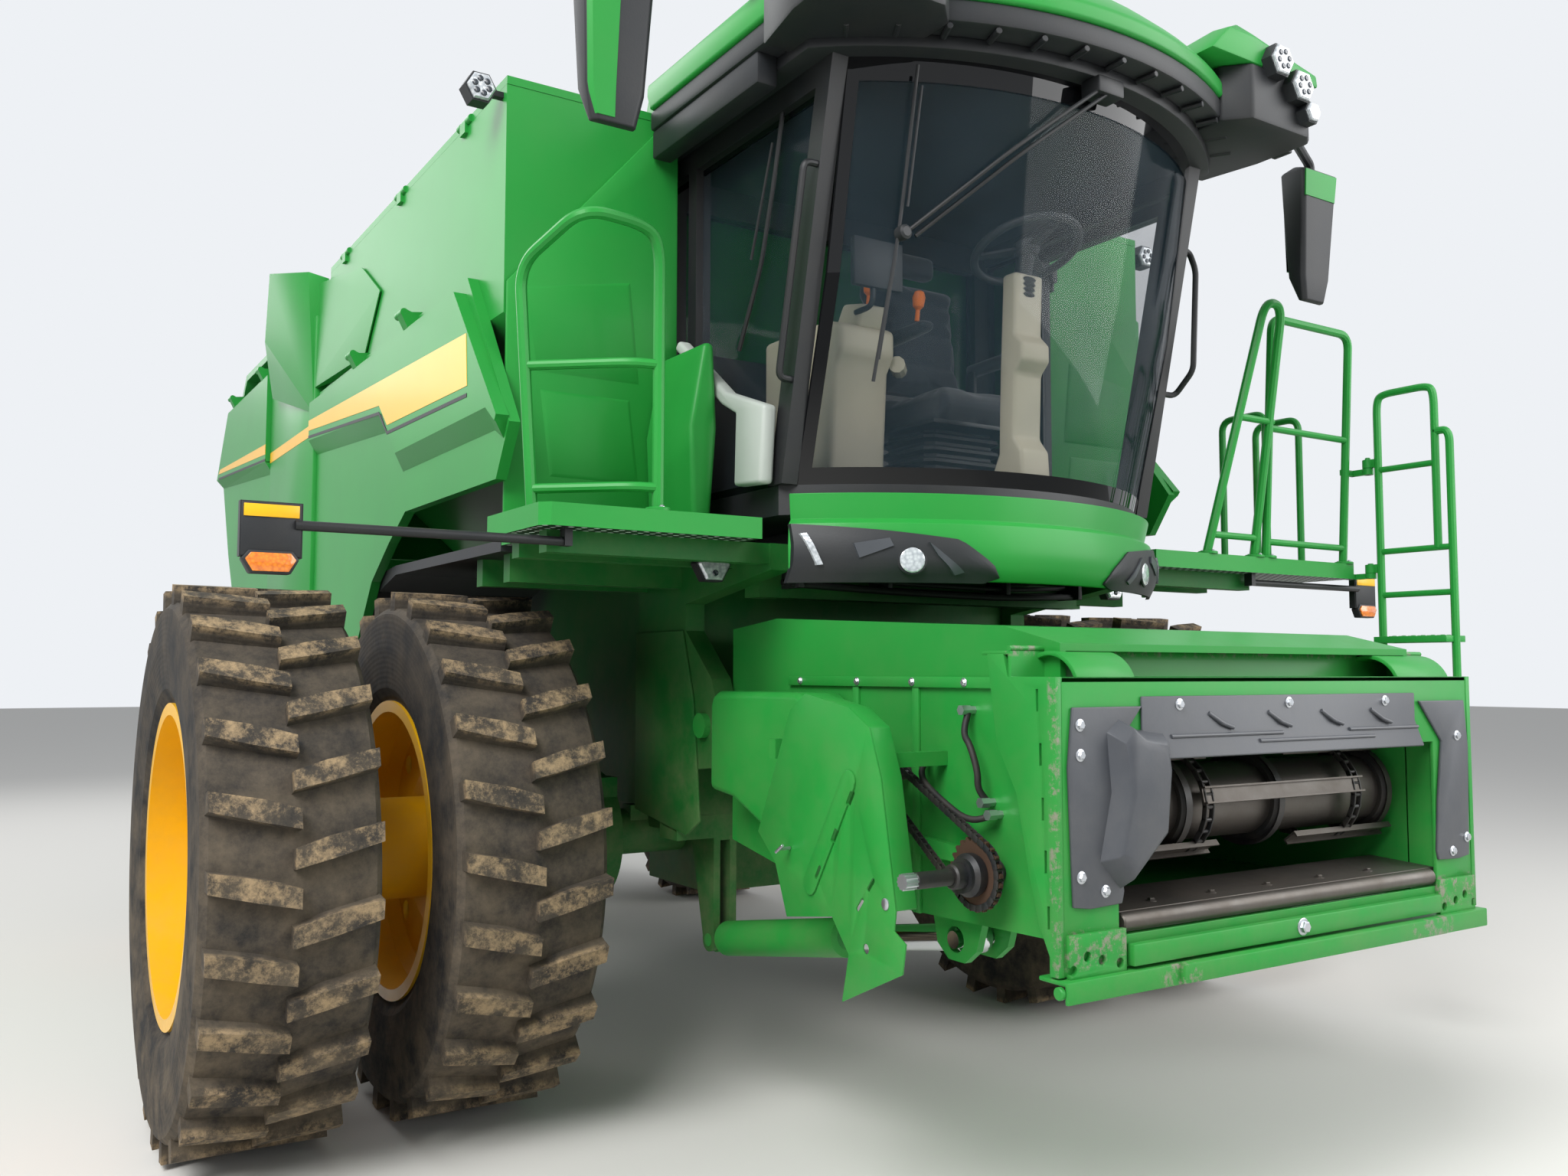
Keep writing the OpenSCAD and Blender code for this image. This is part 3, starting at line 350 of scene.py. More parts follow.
@dataclass(frozen=True)
class Woven(Finish):
    """Seat cloth: fine crossed threads with a soft sheen."""

    def dress(self, mix: Mixer, surface: bpy.types.Node) -> None:
        """Lays the plain finish and gives the cloth its sheen."""
        super().dress(mix, surface)
        surface.inputs["Sheen Weight"].default_value = 0.35

    def relief(self, mix: Mixer, place: Socket, height: Socket) -> Socket:
        """Crosses two sets of threads, drawn at 6 mm because the real 1 mm ones don't show."""
        wave = {"Vector": place, "Scale": 1000 / self.grain_mm / 6}
        return mix.number("MULTIPLY", *(add_node(mix.tree, "ShaderNodeTexWave", wave, wave_type="BANDS",
                                                 bands_direction=axis).outputs["Fac"] for axis in ("Y", "Z")))


# Sprayed alkyd enamel over sheet steel: saturated, glossy, with faint orange peel
GREEN_ENAMEL = Finish("sprayed_green_enamel", "green_paint", "#27913a", "#218234", 0.38, coat=0.05, gloss=0.22,
                      grain_mm=3.0, grain_depth=0.05)
# The same enamel on the header frame, rubbed to the steel at the hooks, latches and lower beam
FACE_ENAMEL = WornEnamel("rubbed_green_enamel", "green_paint", "#27913a", "#218234", 0.40, coat=0.05, gloss=0.22,
                         grain_mm=3.0, grain_depth=0.08, rubbed=(
                             ((2480, -900, 1694), (2510, 990, 1725)), ((2655, -865, 925), (2680, -662, 1008)),
                             ((2655, 722, 925), (2680, 922, 1008)), ((2640, -890, 905), (2662, -880, 1640)),
                             ((2688, -560, 848), (2712, -430, 905)), ((2688, 520, 848), (2712, 760, 905))))
# The same enamel on castings and inner frames, duller and dustier, and a darker green that is painted shade for parts
# that sit in shadow under the body
SHADED_FRAME_ENAMEL = Finish("frame_green_enamel_painted_shade", "dark_green_paint", "#1d6e2c", "#165823", 0.48, coat=0.0, gloss=0.22,
                      grain_mm=5.0, grain_depth=0.2, soil=Soil.WORKED)
# Baked yellow enamel on the rims and the stripes
YELLOW_ENAMEL = Finish("baked_yellow_enamel", "yellow_paint", "#f0b90f", "#e3a806", 0.38, coat=0.2, soil=Soil.LIGHT,
                       soil_top_m=2.2)
# Carbon-black rubber of the front and rear tyres, with dry soil in its pores
FRONT_RUBBER = Tread("front_tread_rubber", "tyre_rubber", "#2b2b2b", "#222223", 0.82, gloss=0.2, grain_mm=5.0,
                     grain_depth=0.6, soil=Soil.WORKED, soil_top_m=2.1, axle=(1.5, 0.975), reach=0.975)
REAR_RUBBER = Tread("rear_tread_rubber", "tyre_rubber", "#2b2b2b", "#222223", 0.82, gloss=0.2, grain_mm=5.0,
                    grain_depth=0.6, soil=Soil.WORKED, soil_top_m=1.7, axle=(-2.05, 0.795), reach=0.795)
# Textured black polypropylene of the roof lining and arches
BLACK_MOULDING = Finish("moulded_black_polypropylene", "black_plastic", "#202326", "#1a1c1f", 0.5, grain_mm=1.6,
                        grain_depth=0.25)
# Rubber hose cover
HOSE_RUBBER = Finish("extruded_hose_rubber", "black_plastic", "#18191b", "#101113", 0.6, grain_depth=0.1)
# Rotomoulded grey polyethylene deflectors, scuffed by straw
GREY_POLY = Finish("scuffed_grey_polyethylene", "black_plastic", "#45484e", "#36393e", 0.4, gloss=0.5, grain_mm=2.0,
                   grain_depth=0.12, soil_colour="#85827c")
# Powder-coated black steel
BLACK_STEEL = Finish("black_powder_coat", "black_steel", "#1d1f22", "#16181a", 0.45, grain_mm=1.2, grain_depth=0.2)
# Laminated windshield and tempered panes
WINDSHIELD_GLASS = Glazing("laminated_tinted_glass", "clear_glass", "#33444e", "#33444e", 0.02, gloss=0.35,
                           border=(0.785, 2.325, 3.545))
CAB_GLASS = Glazing("tempered_tinted_glass", "clear_glass", "#2c3b44", "#2c3b44", 0.02, gloss=0.35,
                    border=(9.0, 2.3, 3.52))
# Polycarbonate lamp lens before a vacuum-metallised reflector
LAMP_LENS = Lens("silvered_lamp_lens", "lamp_lens", "#dfe3e6", "#9ba1a7", 0.15, metallic=0.35, grain_mm=12.0)
AMBER_LENS = Lens("moulded_amber_lens", "lamp_lens", "#f28a12", "#c45f06", 0.2, grain_mm=9.0)
RED_LENS = Lens("moulded_red_lens", "lamp_lens", "#c8201c", "#8d1210", 0.2, grain_mm=9.0)
# Dark optic of each light-emitting diode
LED_OPTIC = Finish("moulded_led_optic", "black_plastic", "#2b333d", "#1d232a", 0.15, gloss=0.8, grain_depth=0.0,
                   soil=Soil.NONE)
# Translucent white polyethylene of the washer tank
WHITE_POLY = Finish("blow_moulded_white_polyethylene", "trim_beige", "#b4bab4", "#a5aca5", 0.5, grain_depth=0.1)
# Air-ride seat cloth
SEAT_CLOTH = Woven("woven_seat_cloth", "seat_fabric", "#2c2f34", "#212428", 0.9, grain_mm=2.0, soil=Soil.NONE)
# Warm grey ABS of the cab's inner trim
TRIM_ABS = Finish("moulded_trim_abs", "trim_beige", "#b7b19c", "#aca692", 0.5, grain_mm=1.2, grain_depth=0.2,
                  soil=Soil.NONE)
# Orange ABS of the parking lever and the drive lever
ORANGE_ABS = Finish("moulded_orange_abs", "trim_beige", "#f07c12", "#dd6c0a", 0.4, grain_depth=0.05, soil=Soil.NONE)
# Cast iron of the engine block
CAST_IRON = Finish("cast_iron", "engine_iron", "#45494c", "#34373a", 0.65, metallic=0.3, grain_mm=3.0, grain_depth=0.5,
                   soil=Soil.WORKED)
# Steel polished by crop flow, browned in its hollows
WORN_STEEL = Finish("crop_worn_steel", "worn_steel", "#77736e", "#3d3935", 0.42, metallic=0.8, grain_mm=3.0,
                    grain_depth=0.3, soil=Soil.WORKED, soil_colour="#4f4132")
# Rusty toothed wheels and bare shafts
RUSTED_STEEL = Finish("rusted_steel", "worn_steel", "#5e4636", "#3a2d26", 0.7, metallic=0.5, grain_mm=4.0,
                      grain_depth=0.4, soil=Soil.LIGHT, soil_colour="#4f4132")
# Zinc-plated bolts and fittings
ZINC = Finish("zinc_plate", "chrome_rod", "#c9ccd0", "#a9adb2", 0.3, metallic=0.9, grain_depth=0.05, soil=Soil.NONE)
# Hard chrome on the cylinder rods
CHROME = Finish("hard_chrome", "chrome_rod", "#d5d8db", "#c9cdd1", 0.10, metallic=1.0, gloss=0.5, grain_depth=0.0,
                soil=Soil.NONE)
# Tread plate of the platforms
PUNCHED_DECK = PunchedDeck("punched_green_deck", "green_paint", "#27913a", "#218234", 0.42, gloss=0.22, grain_mm=3.0)

NODE_FINISH: dict[str, Finish] = {
    **dict.fromkeys(("grain_tank", "tank_cover_left", "tank_cover_right", "rear_hood", "air_scoops", "cab_skirt",
                     "roof_cap", "handrails", "ladder", "shield_front_left", "shield_front_right",
                     "shield_rear_left", "shield_rear_right", "auger_turret", "unloading_auger", "feeder_house",
                     "feeder_face", "feeder_guard", "lift_barrels"), GREEN_ENAMEL),
    # Castings, inner frames and axles take the darker green, which is painted shade
    **dict.fromkeys(("main_frame", "separator_body", "front_axle", "rear_axle", "knuckle_left", "knuckle_right"),
                    SHADED_FRAME_ENAMEL),
    **dict.fromkeys(("rims_front_left", "rims_front_right", "rim_rear_left", "rim_rear_right"), YELLOW_ENAMEL),
    **dict.fromkeys(("tyres_front_left", "tyres_front_right"), FRONT_RUBBER),
    **dict.fromkeys(("tyre_rear_left", "tyre_rear_right"), REAR_RUBBER),
    **dict.fromkeys(("roof_liner", "mirrors", "wheel_arches"), BLACK_MOULDING),
    **dict.fromkeys(("chopper", "tie_rod", "cab_frame", "cab_door", "wipers", "marker_arms", "cab_base"), BLACK_STEEL),
    **dict.fromkeys(("cab_glass", "door_glass"), CAB_GLASS),
    **dict.fromkeys(("feeder_conveyor", "feeder_drive"), WORN_STEEL),
    "windshield": WINDSHIELD_GLASS, "lamps": LAMP_LENS, "seat": SEAT_CLOTH, "console": TRIM_ABS,
    "steering_column": TRIM_ABS, "engine": CAST_IRON, "lift_rods": CHROME, "platforms": PUNCHED_DECK,
    }


class Plane(Enum):
    """Planes in which an outline is drawn: the axes of its two numbers and of its depth."""

    SIDE = (0, 2, 1)
    CROSS = (1, 2, 0)
    LEVEL = (0, 1, 2)

    def place(self, point: Flat, depth: float) -> Vector:
        """Gives the point of the outline at a depth.

        Args:
            point: The two numbers in the plane, in millimetres.
            depth: Distance across the plane, in millimetres.

        Returns:
            The point in metres.
        """
        spot = [0.0, 0.0, 0.0]
        first, second, across = self.value
        spot[first], spot[second], spot[across] = point[0], point[1], depth
        return mm(*spot)


class Bench:
    """The modelling moves that every sub-assembly shares. Sizes are in millimetres."""

    @staticmethod
    def hold(*pieces: Piece) -> None:
        """Selects these pieces alone, with the last one active."""
        bpy.ops.object.select_all(action="DESELECT")
        for piece in pieces:
            piece.select_set(True)
        bpy.context.view_layer.objects.active = pieces[-1]

    @staticmethod
    def outwards(piece: Piece, hull: bool = False) -> Piece:
        """Turns a closed piece's faces outwards, after wrapping it in its hull where that is asked."""
        Bench.hold(piece)
        bpy.ops.object.mode_set(mode="EDIT")
        bpy.ops.mesh.select_all(action="SELECT")
        if hull:
            bpy.ops.mesh.convex_hull()
            bpy.ops.mesh.select_all(action="SELECT")
        bpy.ops.mesh.normals_make_consistent(inside=False)
        bpy.ops.object.mode_set(mode="OBJECT")
        return piece

    @staticmethod
    def swept(sections: Sequence[Sequence[Vector]]) -> Piece:
        """Makes a closed form by extruding a filled ring from section to section.

        Args:
            sections: Rings with the same number of corners, in metres.

        Returns:
            The new piece.
        """
        bpy.ops.object.select_all(action="DESELECT")
        bpy.ops.mesh.primitive_circle_add(vertices=len(sections[0]), fill_type="NGON")
        piece = bpy.context.object
        bpy.ops.object.mode_set(mode="EDIT")
        bpy.ops.mesh.select_all(action="SELECT")
        for _ in sections[1:]:
            bpy.ops.mesh.extrude_region_move(TRANSFORM_OT_translate={"value": (0, 0, 1)})
        bpy.ops.object.mode_set(mode="OBJECT")
        for vertex, place in zip(piece.data.vertices, chain.from_iterable(sections)):
            vertex.co = place
        return Bench.outwards(piece)

    @staticmethod
    def plate(plane: Plane, points: Sequence[Flat], low: float, high: float, soft: float = 0.0,
              segments: int = 2) -> Piece:
        """Makes a plate from an outline and two depths.

        Args:
            plane: Plane of the outline.
            points: Corners of the outline.
            low: First depth.
            high: Second depth.
            soft: Width of the rounding of its edges, or 0 for sharp ones.
            segments: Steps of the rounding.

        Returns:
            The new piece.
        """
        piece = Bench.swept([[plane.place(point, depth) for point in points] for depth in (low, high)])
        return Bench.soft_edges(piece, soft, segments) if soft else piece

    @staticmethod
    def box(low: Point, high: Point, soft: float = 0.0, segments: int = 2) -> Piece:
        """Makes a block between two corners, with its edges rounded where soft is given."""
        corners = [(low[0], low[1]), (high[0], low[1]), (high[0], high[1]), (low[0], high[1])]
        return Bench.plate(Plane.LEVEL, corners, low[2], high[2], soft, segments)

    @staticmethod
    def turned(stations: Sequence[Flat], place: Vector, direction: Vector, sides: int = 24) -> Piece:
        """Makes a turned piece.

        Args:
            stations: Distance along the axis and radius of each ring.
            place: Start of the axis, in metres.
            direction: Direction of the axis.
            sides: Corners of a ring.

        Returns:
            The new piece.
        """
        turn = direction.to_track_quat("Z", "Y").to_matrix()
        angles = [2 * math.pi * i / sides for i in range(sides)]
        return Bench.swept([[place + turn @ Vector((r * math.cos(a), r * math.sin(a), along)) / 1000 for a in angles]
                            for along, r in stations])

    @staticmethod
    def bar(start: Point, end: Point, radius: float, sides: int = 16) -> Piece:
        """Makes a round bar with small chamfers at its ends."""
        run = mm(*end) - mm(*start)
        length, chamfer = run.length * 1000, radius * 0.15
        return Bench.turned([(0, radius - chamfer), (chamfer, radius), (length - chamfer, radius),
                             (length, radius - chamfer)], mm(*start), run, sides)

    @staticmethod
    def route(points: Sequence[Point], bend: float, steps: int = 5) -> list[Vector]:
        """Rounds the corners of a route.

        Args:
            points: Corners of the route.
            bend: How far before and after a corner its bend reaches.
            steps: Points of each bend.

        Returns:
            The rounded route, in metres.
        """
        spots = [mm(*point) for point in points]
        path = [spots[0]]
        for before, corner, after in zip(spots, spots[1:], spots[2:]):
            reach_in = min(bend / 1000, (corner - before).length * 0.48)
            reach_out = min(bend / 1000, (after - corner).length * 0.48)
            start = corner + (before - corner).normalized() * reach_in
            end = corner + (after - corner).normalized() * reach_out
            for i in range(steps + 1):
                t = i / steps
                path.append(start * (1 - t) ** 2 + corner * 2 * t * (1 - t) + end * t ** 2)
        return [*path, spots[-1]]

    @staticmethod
    def pipe(path: Sequence[Vector], radius: float, as_mesh: bool = True) -> Piece:
        """Draws a round tube along a path.

        Args:
            path: Points of the tube's middle, in metres.
            radius: Radius of the tube.
            as_mesh: Whether the curve is turned to a mesh.

        Returns:
            The tube.
        """
        curve = bpy.data.curves.new("tube", "CURVE")
        curve.dimensions = "3D"
        curve.bevel_depth = radius / 1000
        curve.bevel_resolution = 3
        curve.use_fill_caps = True
        line = curve.splines.new("POLY")
        line.points.add(len(path) - 1)
        for spot, place in zip(line.points, path):
            spot.co = (*place, 1.0)
        tube = bpy.data.objects.new("tube", curve)
        bpy.context.scene.collection.objects.link(tube)
        if as_mesh:
            Bench.hold(tube)
            bpy.ops.object.convert(target="MESH")
        return bpy.context.object if as_mesh else tube

    @staticmethod
    def tube(points: Sequence[Point], bend: float, radius: float, steps: int = 5) -> Piece:
        """Draws a round tube with a bend at each corner of its route."""
        return Bench.pipe(Bench.route(points, bend, steps), radius)

    @staticmethod
    def wrapped(points: Sequence[Point], grow: float = 6.0) -> Piece:
        """Makes the closed form that wraps small blocks set at corner points."""
        spots = [mm(x + i * grow, y + j * grow, z + k * grow) for x, y, z in points
                 for i in (0, 1) for j in (0, 1) for k in (0, 1)]
        return Bench.outwards(Bench.swept([spots[:len(spots) // 2], spots[len(spots) // 2:]]), hull=True)

    @staticmethod
    def modified(piece: Piece, kind: str, **settings: object) -> Piece:
        """Adds a modifier with its settings and applies it."""
        Bench.hold(piece)
        change = piece.modifiers.new("shape", kind)
        for key, value in settings.items():
            setattr(change, key, value)
        bpy.ops.object.modifier_apply(modifier=change.name)
        return piece

    @staticmethod
    def soft_edges(piece: Piece, width: float, segments: int = 2) -> Piece:
        """Rounds the sharp edges of a piece."""
        return Bench.modified(piece, "BEVEL", width=width / 1000, segments=segments, limit_method="ANGLE",
                              angle_limit=math.radians(30))

    @staticmethod
    def cut(piece: Piece, *cutters: Piece) -> Piece:
        """Cuts the cutters out of a piece."""
        for cutter in cutters:
            Bench.modified(piece, "BOOLEAN", operation="DIFFERENCE", solver="EXACT", object=cutter)
            bpy.data.objects.remove(cutter)
        return piece

    @staticmethod
    def joined(pieces: Piece | Sequence[Piece]) -> Piece:
        """Joins pieces into the last one. A single piece comes back as it is."""
        if isinstance(pieces, Piece):
            return pieces
        Bench.hold(*pieces)
        if len(pieces) > 1:
            bpy.ops.object.join()
        return bpy.context.object

    @staticmethod
    def twin(piece: Piece, place: Matrix) -> Piece:
        """Copies a piece to a place, and turns a mirror image's faces outwards again."""
        twin = bpy.data.objects.new("twin", piece.data.copy())
        twin.data.transform(place)
        if place.determinant() < 0:
            twin.data.flip_normals()
        bpy.context.scene.collection.objects.link(twin)
        return twin

    @staticmethod
    def copies(piece: Piece, places: Sequence[Matrix]) -> Piece:
        """Copies a piece that was modelled once to each place, and joins the copies."""
        made = [Bench.twin(piece, place) for place in places]
        bpy.data.objects.remove(piece)
        return Bench.joined(made)

    @staticmethod
    def both(pieces: Piece | Sequence[Piece]) -> Piece:
        """Joins pieces and adds their mirror image on the machine's other side."""
        piece = Bench.joined(pieces)
        return Bench.joined([Bench.twin(piece, Matrix.Scale(-1, 4, (0, 1, 0))), piece])

    @staticmethod
    def bolts(places: Sequence[Point], direction: Vector, head: float = 11.0) -> Piece:
        """Sets hexagon bolts with washers.

        Args:
            places: Where the washers rest.
            direction: Direction in which the heads stand up.
            head: Radius over the head's corners.

        Returns:
            The bolts, as one piece.
        """
        washer = Bench.turned([(0, head * 1.45), (2, head * 1.45), (3, head * 1.3)], Vector(), UP, 14)
        cap = Bench.turned([(2, head), (head * 0.75, head), (head * 0.95, head * 0.8)], Vector(), UP, 6)
        turn = direction.to_track_quat("Z", "Y").to_matrix().to_4x4()
        return Bench.copies(Bench.joined([washer, cap]), [Matrix.Translation(mm(*p)) @ turn for p in places])

    @staticmethod
    def done(pieces: Piece | Sequence[Piece], name: str, finish: Finish, body: str = "root",
             *replaced: str) -> Piece:
        """Joins, names, dresses and mounts a finished piece.

        Args:
            pieces: The piece, or the pieces that it is joined from.
            name: Its name.
            finish: Its finish.
            body: Body that it rides on.
            *replaced: Nodes that it stands for.

        Returns:
            The finished piece.
        """
        piece = Bench.joined(pieces)
        piece.name = piece.data.name = name
        piece.data.materials.clear()
        piece.data.materials.append(finish.material())
        if piece.type == "MESH":
            Bench.hold(piece)
            bpy.ops.object.shade_smooth_by_angle(angle=math.radians(32))
        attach(piece, body)
        if replaced:
            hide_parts(*replaced)
        LOG.info("made %s on %s", name, body)
        return piece


def arc(middle: Flat, radius: float, start: float, end: float, steps: int = 12) -> list[Flat]:
    """Gives points along an arc, with the angles in degrees."""
    return [(middle[0] + radius * math.cos(math.radians(start + (end - start) * i / steps)),
             middle[1] + radius * math.sin(math.radians(start + (end - start) * i / steps))) for i in range(steps + 1)]


@dataclass
class SideTrim:
    """Stripes, character-line bevels and latches on the side shields, and the spine's yellow band."""

    face_y: float = 1685.0
    base_y: float = 1640.5
    stripe_t: float = 1.5
    line_drop: Flat = (26.0, 40.0)
    front_stripe: Outline = ((-1880, 2885), (-540, 2780), (-410, 2675), (600, 2650), (582, 2842), (-1880, 2937))
    front_line: Outline = front_stripe[:4]
    rear_stripe: Outline = ((-3010, 2925), (-3010, 2985), (-4600, 3045), (-4660, 3020))
    rear_line: Outline = (rear_stripe[0], rear_stripe[-1])
    front_edge: tuple[tuple[Flat, Flat], ...] = (
        ((884, 2484), (850, 2430)), ((790, 2540), (765, 2470)), ((-290, 2540), (-318, 2470)),
        ((-500, 2740), (-530, 2672)), ((-1880, 2835), (-1880, 2765)))
    rear_edge: tuple[tuple[Flat, Flat], ...] = (((-3010, 2880), (-3010, 2812)), ((-4733, 2985), (-4715, 2930)))
    front_latches: Outline = ((-1700, 1560), (-1250, 1560))
    rear_latches: Outline = ((-3900, 1880), (-3150, 1880))
    cup: Outline = ((0, 30), (5, 30), (5, 22), (2, 20))
    spine_band: Outline = ((-2985, 2870), (-1890, 2870), (-1890, 2930), (-2985, 2930))
    spine_y: float = 1660.0

    def build(self) -> None:
        """Makes the trim of both sides."""
        for side, name in SIDES:
            self.shield(side, f"front_{name}", self.front_stripe, self.front_line, self.front_edge, self.front_latches)
            self.shield(side, f"rear_{name}", self.rear_stripe, self.rear_line, self.rear_edge, self.rear_latches)
        band = Bench.plate(Plane.SIDE, self.spine_band, self.spine_y - 1, self.spine_y + self.stripe_t)
        Bench.done(Bench.both(band), "spine_stripe", YELLOW_ENAMEL)

    def shield(self, side: int, name: str, stripe: Sequence[Flat], line: Sequence[Flat],
               edge: Sequence[tuple[Flat, Flat]], latches: Sequence[Flat]) -> None:
        """Makes the trim of one shield.

        Args:
            side: 1 on the left, -1 on the right.
            name: Which shield it is.
            stripe: Outline of its stripe.
            line: Lower edge of the stripe, that the black line follows.
            edge: Upper and lower points of the bevel below the raised band.
            latches: Places of its latches.
        """
        body = f"side_shield_{name}"
        low, high = self.face_y - 1, self.face_y + self.stripe_t
        Bench.done(Bench.plate(Plane.SIDE, stripe, side * low, side * high), f"stripe_{name}", YELLOW_ENAMEL, body)
        near, far = self.line_drop
        under = [(x, z - near) for x, z in line] + [(x, z - far) for x, z in reversed(line)]
        Bench.done(Bench.plate(Plane.SIDE, under, side * low, side * high), f"stripe_line_{name}", BLACK_MOULDING, body)
        wedge = Bench.swept([[mm(top[0], side * self.face_y, top[1]), mm(foot[0], side * self.base_y, foot[1]),
                              mm(top[0], side * (self.base_y - 2), top[1] + 4),
                              mm(top[0], side * (self.face_y - 2), top[1] + 4)] for top, foot in edge])
        Bench.done(wedge, f"bevel_{name}", GREEN_ENAMEL, body)
        cups = [Bench.turned(self.cup, mm(x, side * (self.base_y - 1.5), z), Vector((0, side, 0))) for x, z in latches]
        Bench.done(cups, f"latches_{name}", BLACK_MOULDING, body)


@dataclass
class AirScoops:
    """Faceted intake fairings that stand out beside the engine bay on the right."""

    inner_y: float = 1600.0
    spine_y: float = 1660.0

    def build(self) -> None:
        """Makes the spines and the two facets."""
        inner, spine = self.inner_y, self.spine_y
        scoop = [(-2460, 1790, 3840), (-1945, 1695, 3730), (-1920, inner, 3705), (-2540, 1790, 3480),
                 (-2760, 1700, 3210), (-1905, spine, 2985), (-1905, spine, 3060), (-2760, inner, 3640),
                 (-2760, inner, 3210), (-1905, inner, 2985)]
        leaf = [(-1960, inner, 3690), (-1180, inner + 12, 3560), (-860, inner + 12, 3370), (-1100, inner + 12, 3125),
                (-1700, inner + 12, 3118), (-1950, spine, 3118), (-1960, inner + 40, 3680)]
        spines = [Bench.plate(Plane.SIDE, [(-1886, 1600), (-1886, top), (-2990, top + 140), (-2990, 1800),
                                           (-2700, 1600)], side * inner, side * spine, soft=8)
                  for side, top in ((-1, 3500), (1, 3300))]
        facets = [Bench.wrapped([(x, -y, z) for x, y, z in points]) for points in (scoop, leaf)]
        Bench.done(spines + facets, "intake_fairings", GREEN_ENAMEL, "root", "air_scoops")


@dataclass
class CabSkirt:
    """Curved green skirt below the windshield with its black lamp pods."""

    middle_x: float = 564.0
    radius: float = 1230.0
    floor_z: float = 2270.0
    half_w: float = 874.0
    profile: Outline = (
        (-15, -35), (-35, -120), (-8, -135), (2, -210), (-2, -280), (-25, -325), (-45, -325), (-45, -120), (-63, -100),
        (-63, -35))
    pod_top: Outline = ((250, 1961), (282, 2004), (396, 2081), (622, 2108), (868, 2132))
    pod_low: Outline = ((250, 1955), (300, 1938), (396, 1938), (622, 1938), (868, 1938))
    lens: Flat = (548.0, 2010.0)
    marker: Outline = ((838, 2100), (853, 2098), (798, 1995), (813, 1993))
    chevrons: tuple[Outline, ...] = (
        ((502, 2068), (474, 2024), (384, 1972), (412, 1962)), ((720, 2064), (704, 2016), (620, 2082), (610, 2056)))

    def out(self, z: float) -> float:
        """Gives the skirt's radius at a height."""
        for (r0, z0), (r1, z1) in zip(self.profile, self.profile[1:6]):
            if z0 >= z - self.floor_z >= z1:
                return self.radius + r0 + (r1 - r0) * (z0 - z + self.floor_z) / (z0 - z1)
        return self.radius - 25

    def on_skin(self, y: float, z: float, proud: float) -> Vector:
        """Gives the point of the skin at a distance from the middle and a height, moved outwards by proud."""
        radius = self.out(z) + proud
        return mm(self.middle_x + math.sqrt(radius ** 2 - y ** 2), y, z)

    def build(self) -> None:
        """Makes the skirt, the pods, their lenses and trim."""
        reach = math.asin(self.half_w / self.radius)
        angles = [reach * (i / 24 - 1) for i in range(49)]
        skirt = Bench.swept([[mm(self.middle_x + (self.radius + r) * math.cos(a), (self.radius + r) * math.sin(a),
                                 self.floor_z + z) for r, z in self.profile] for a in angles])
        Bench.done(Bench.soft_edges(skirt, 4), "cab_skirt_panel", GREEN_ENAMEL, "root", "cab_skirt")
        Bench.done(Bench.both(self.pod()), "lamp_pods", BLACK_MOULDING)
        lens = Bench.turned([(0, 42), (6, 42), (9, 38), (10, 1)], self.on_skin(*self.lens, 8), self.aim(), 32)
        Bench.done(Bench.both(lens), "pod_lenses", LAMP_LENS)
        ring = Bench.turned([(0, 50), (5, 50), (8, 46), (4, 42), (0, 42)], self.on_skin(*self.lens, 7), self.aim(), 32)
        Bench.done(Bench.both(ring), "pod_rings", BLACK_STEEL)
        Bench.done(Bench.both(self.strip(self.marker)), "pod_markers", LAMP_LENS)
        Bench.done(Bench.both([self.strip(corners) for corners in self.chevrons]), "pod_chevrons", GREY_POLY)

    def aim(self) -> Vector:
        """Gives the direction in which the lens faces."""
        return Vector((math.sqrt(self.radius ** 2 - self.lens[0] ** 2), self.lens[0], 0))

    def pod(self) -> Piece:
        """Makes the left pod as a shell over the skirt, pointed towards the middle."""
        sections = []
        for i in range(25):
            y = self.pod_top[0][0] + (self.pod_top[-1][0] - self.pod_top[0][0]) * i / 24
            top, low = self.level(self.pod_top, y), self.level(self.pod_low, y)
            heights = [low + (top - low) * k / 6 for k in range(7)]
            dish = [9 + 5 * math.sin(math.pi * k / 6) for k in range(7)]
            sections.append([self.on_skin(y, z, p) for z, p in zip(heights, dish)]
                            + [self.on_skin(y, z, -4) for z in reversed(heights)])
        return Bench.swept(sections)

    @staticmethod
    def level(line: Sequence[Flat], y: float) -> float:
        """Gives the height of a line at a distance from the middle."""
        for (y0, z0), (y1, z1) in zip(line, line[1:]):
            if y0 <= y <= y1:
                return z0 + (z1 - z0) * (y - y0) / (y1 - y0)
        return line[-1][1]

    def strip(self, corners: Sequence[Flat]) -> Piece:
        """Makes a strip that follows the pod's skin between its first two and its last two corners."""
        sections = []
        for i in range(9):
            a, b = (Vector(start).lerp(Vector(end), i / 8) for start, end in zip(corners[:2], corners[2:]))
            sections.append([self.on_skin(*p, proud) for p, proud in ((a, 8), (b, 8), (b, 20), (a, 20))])
        return Bench.swept(sections)


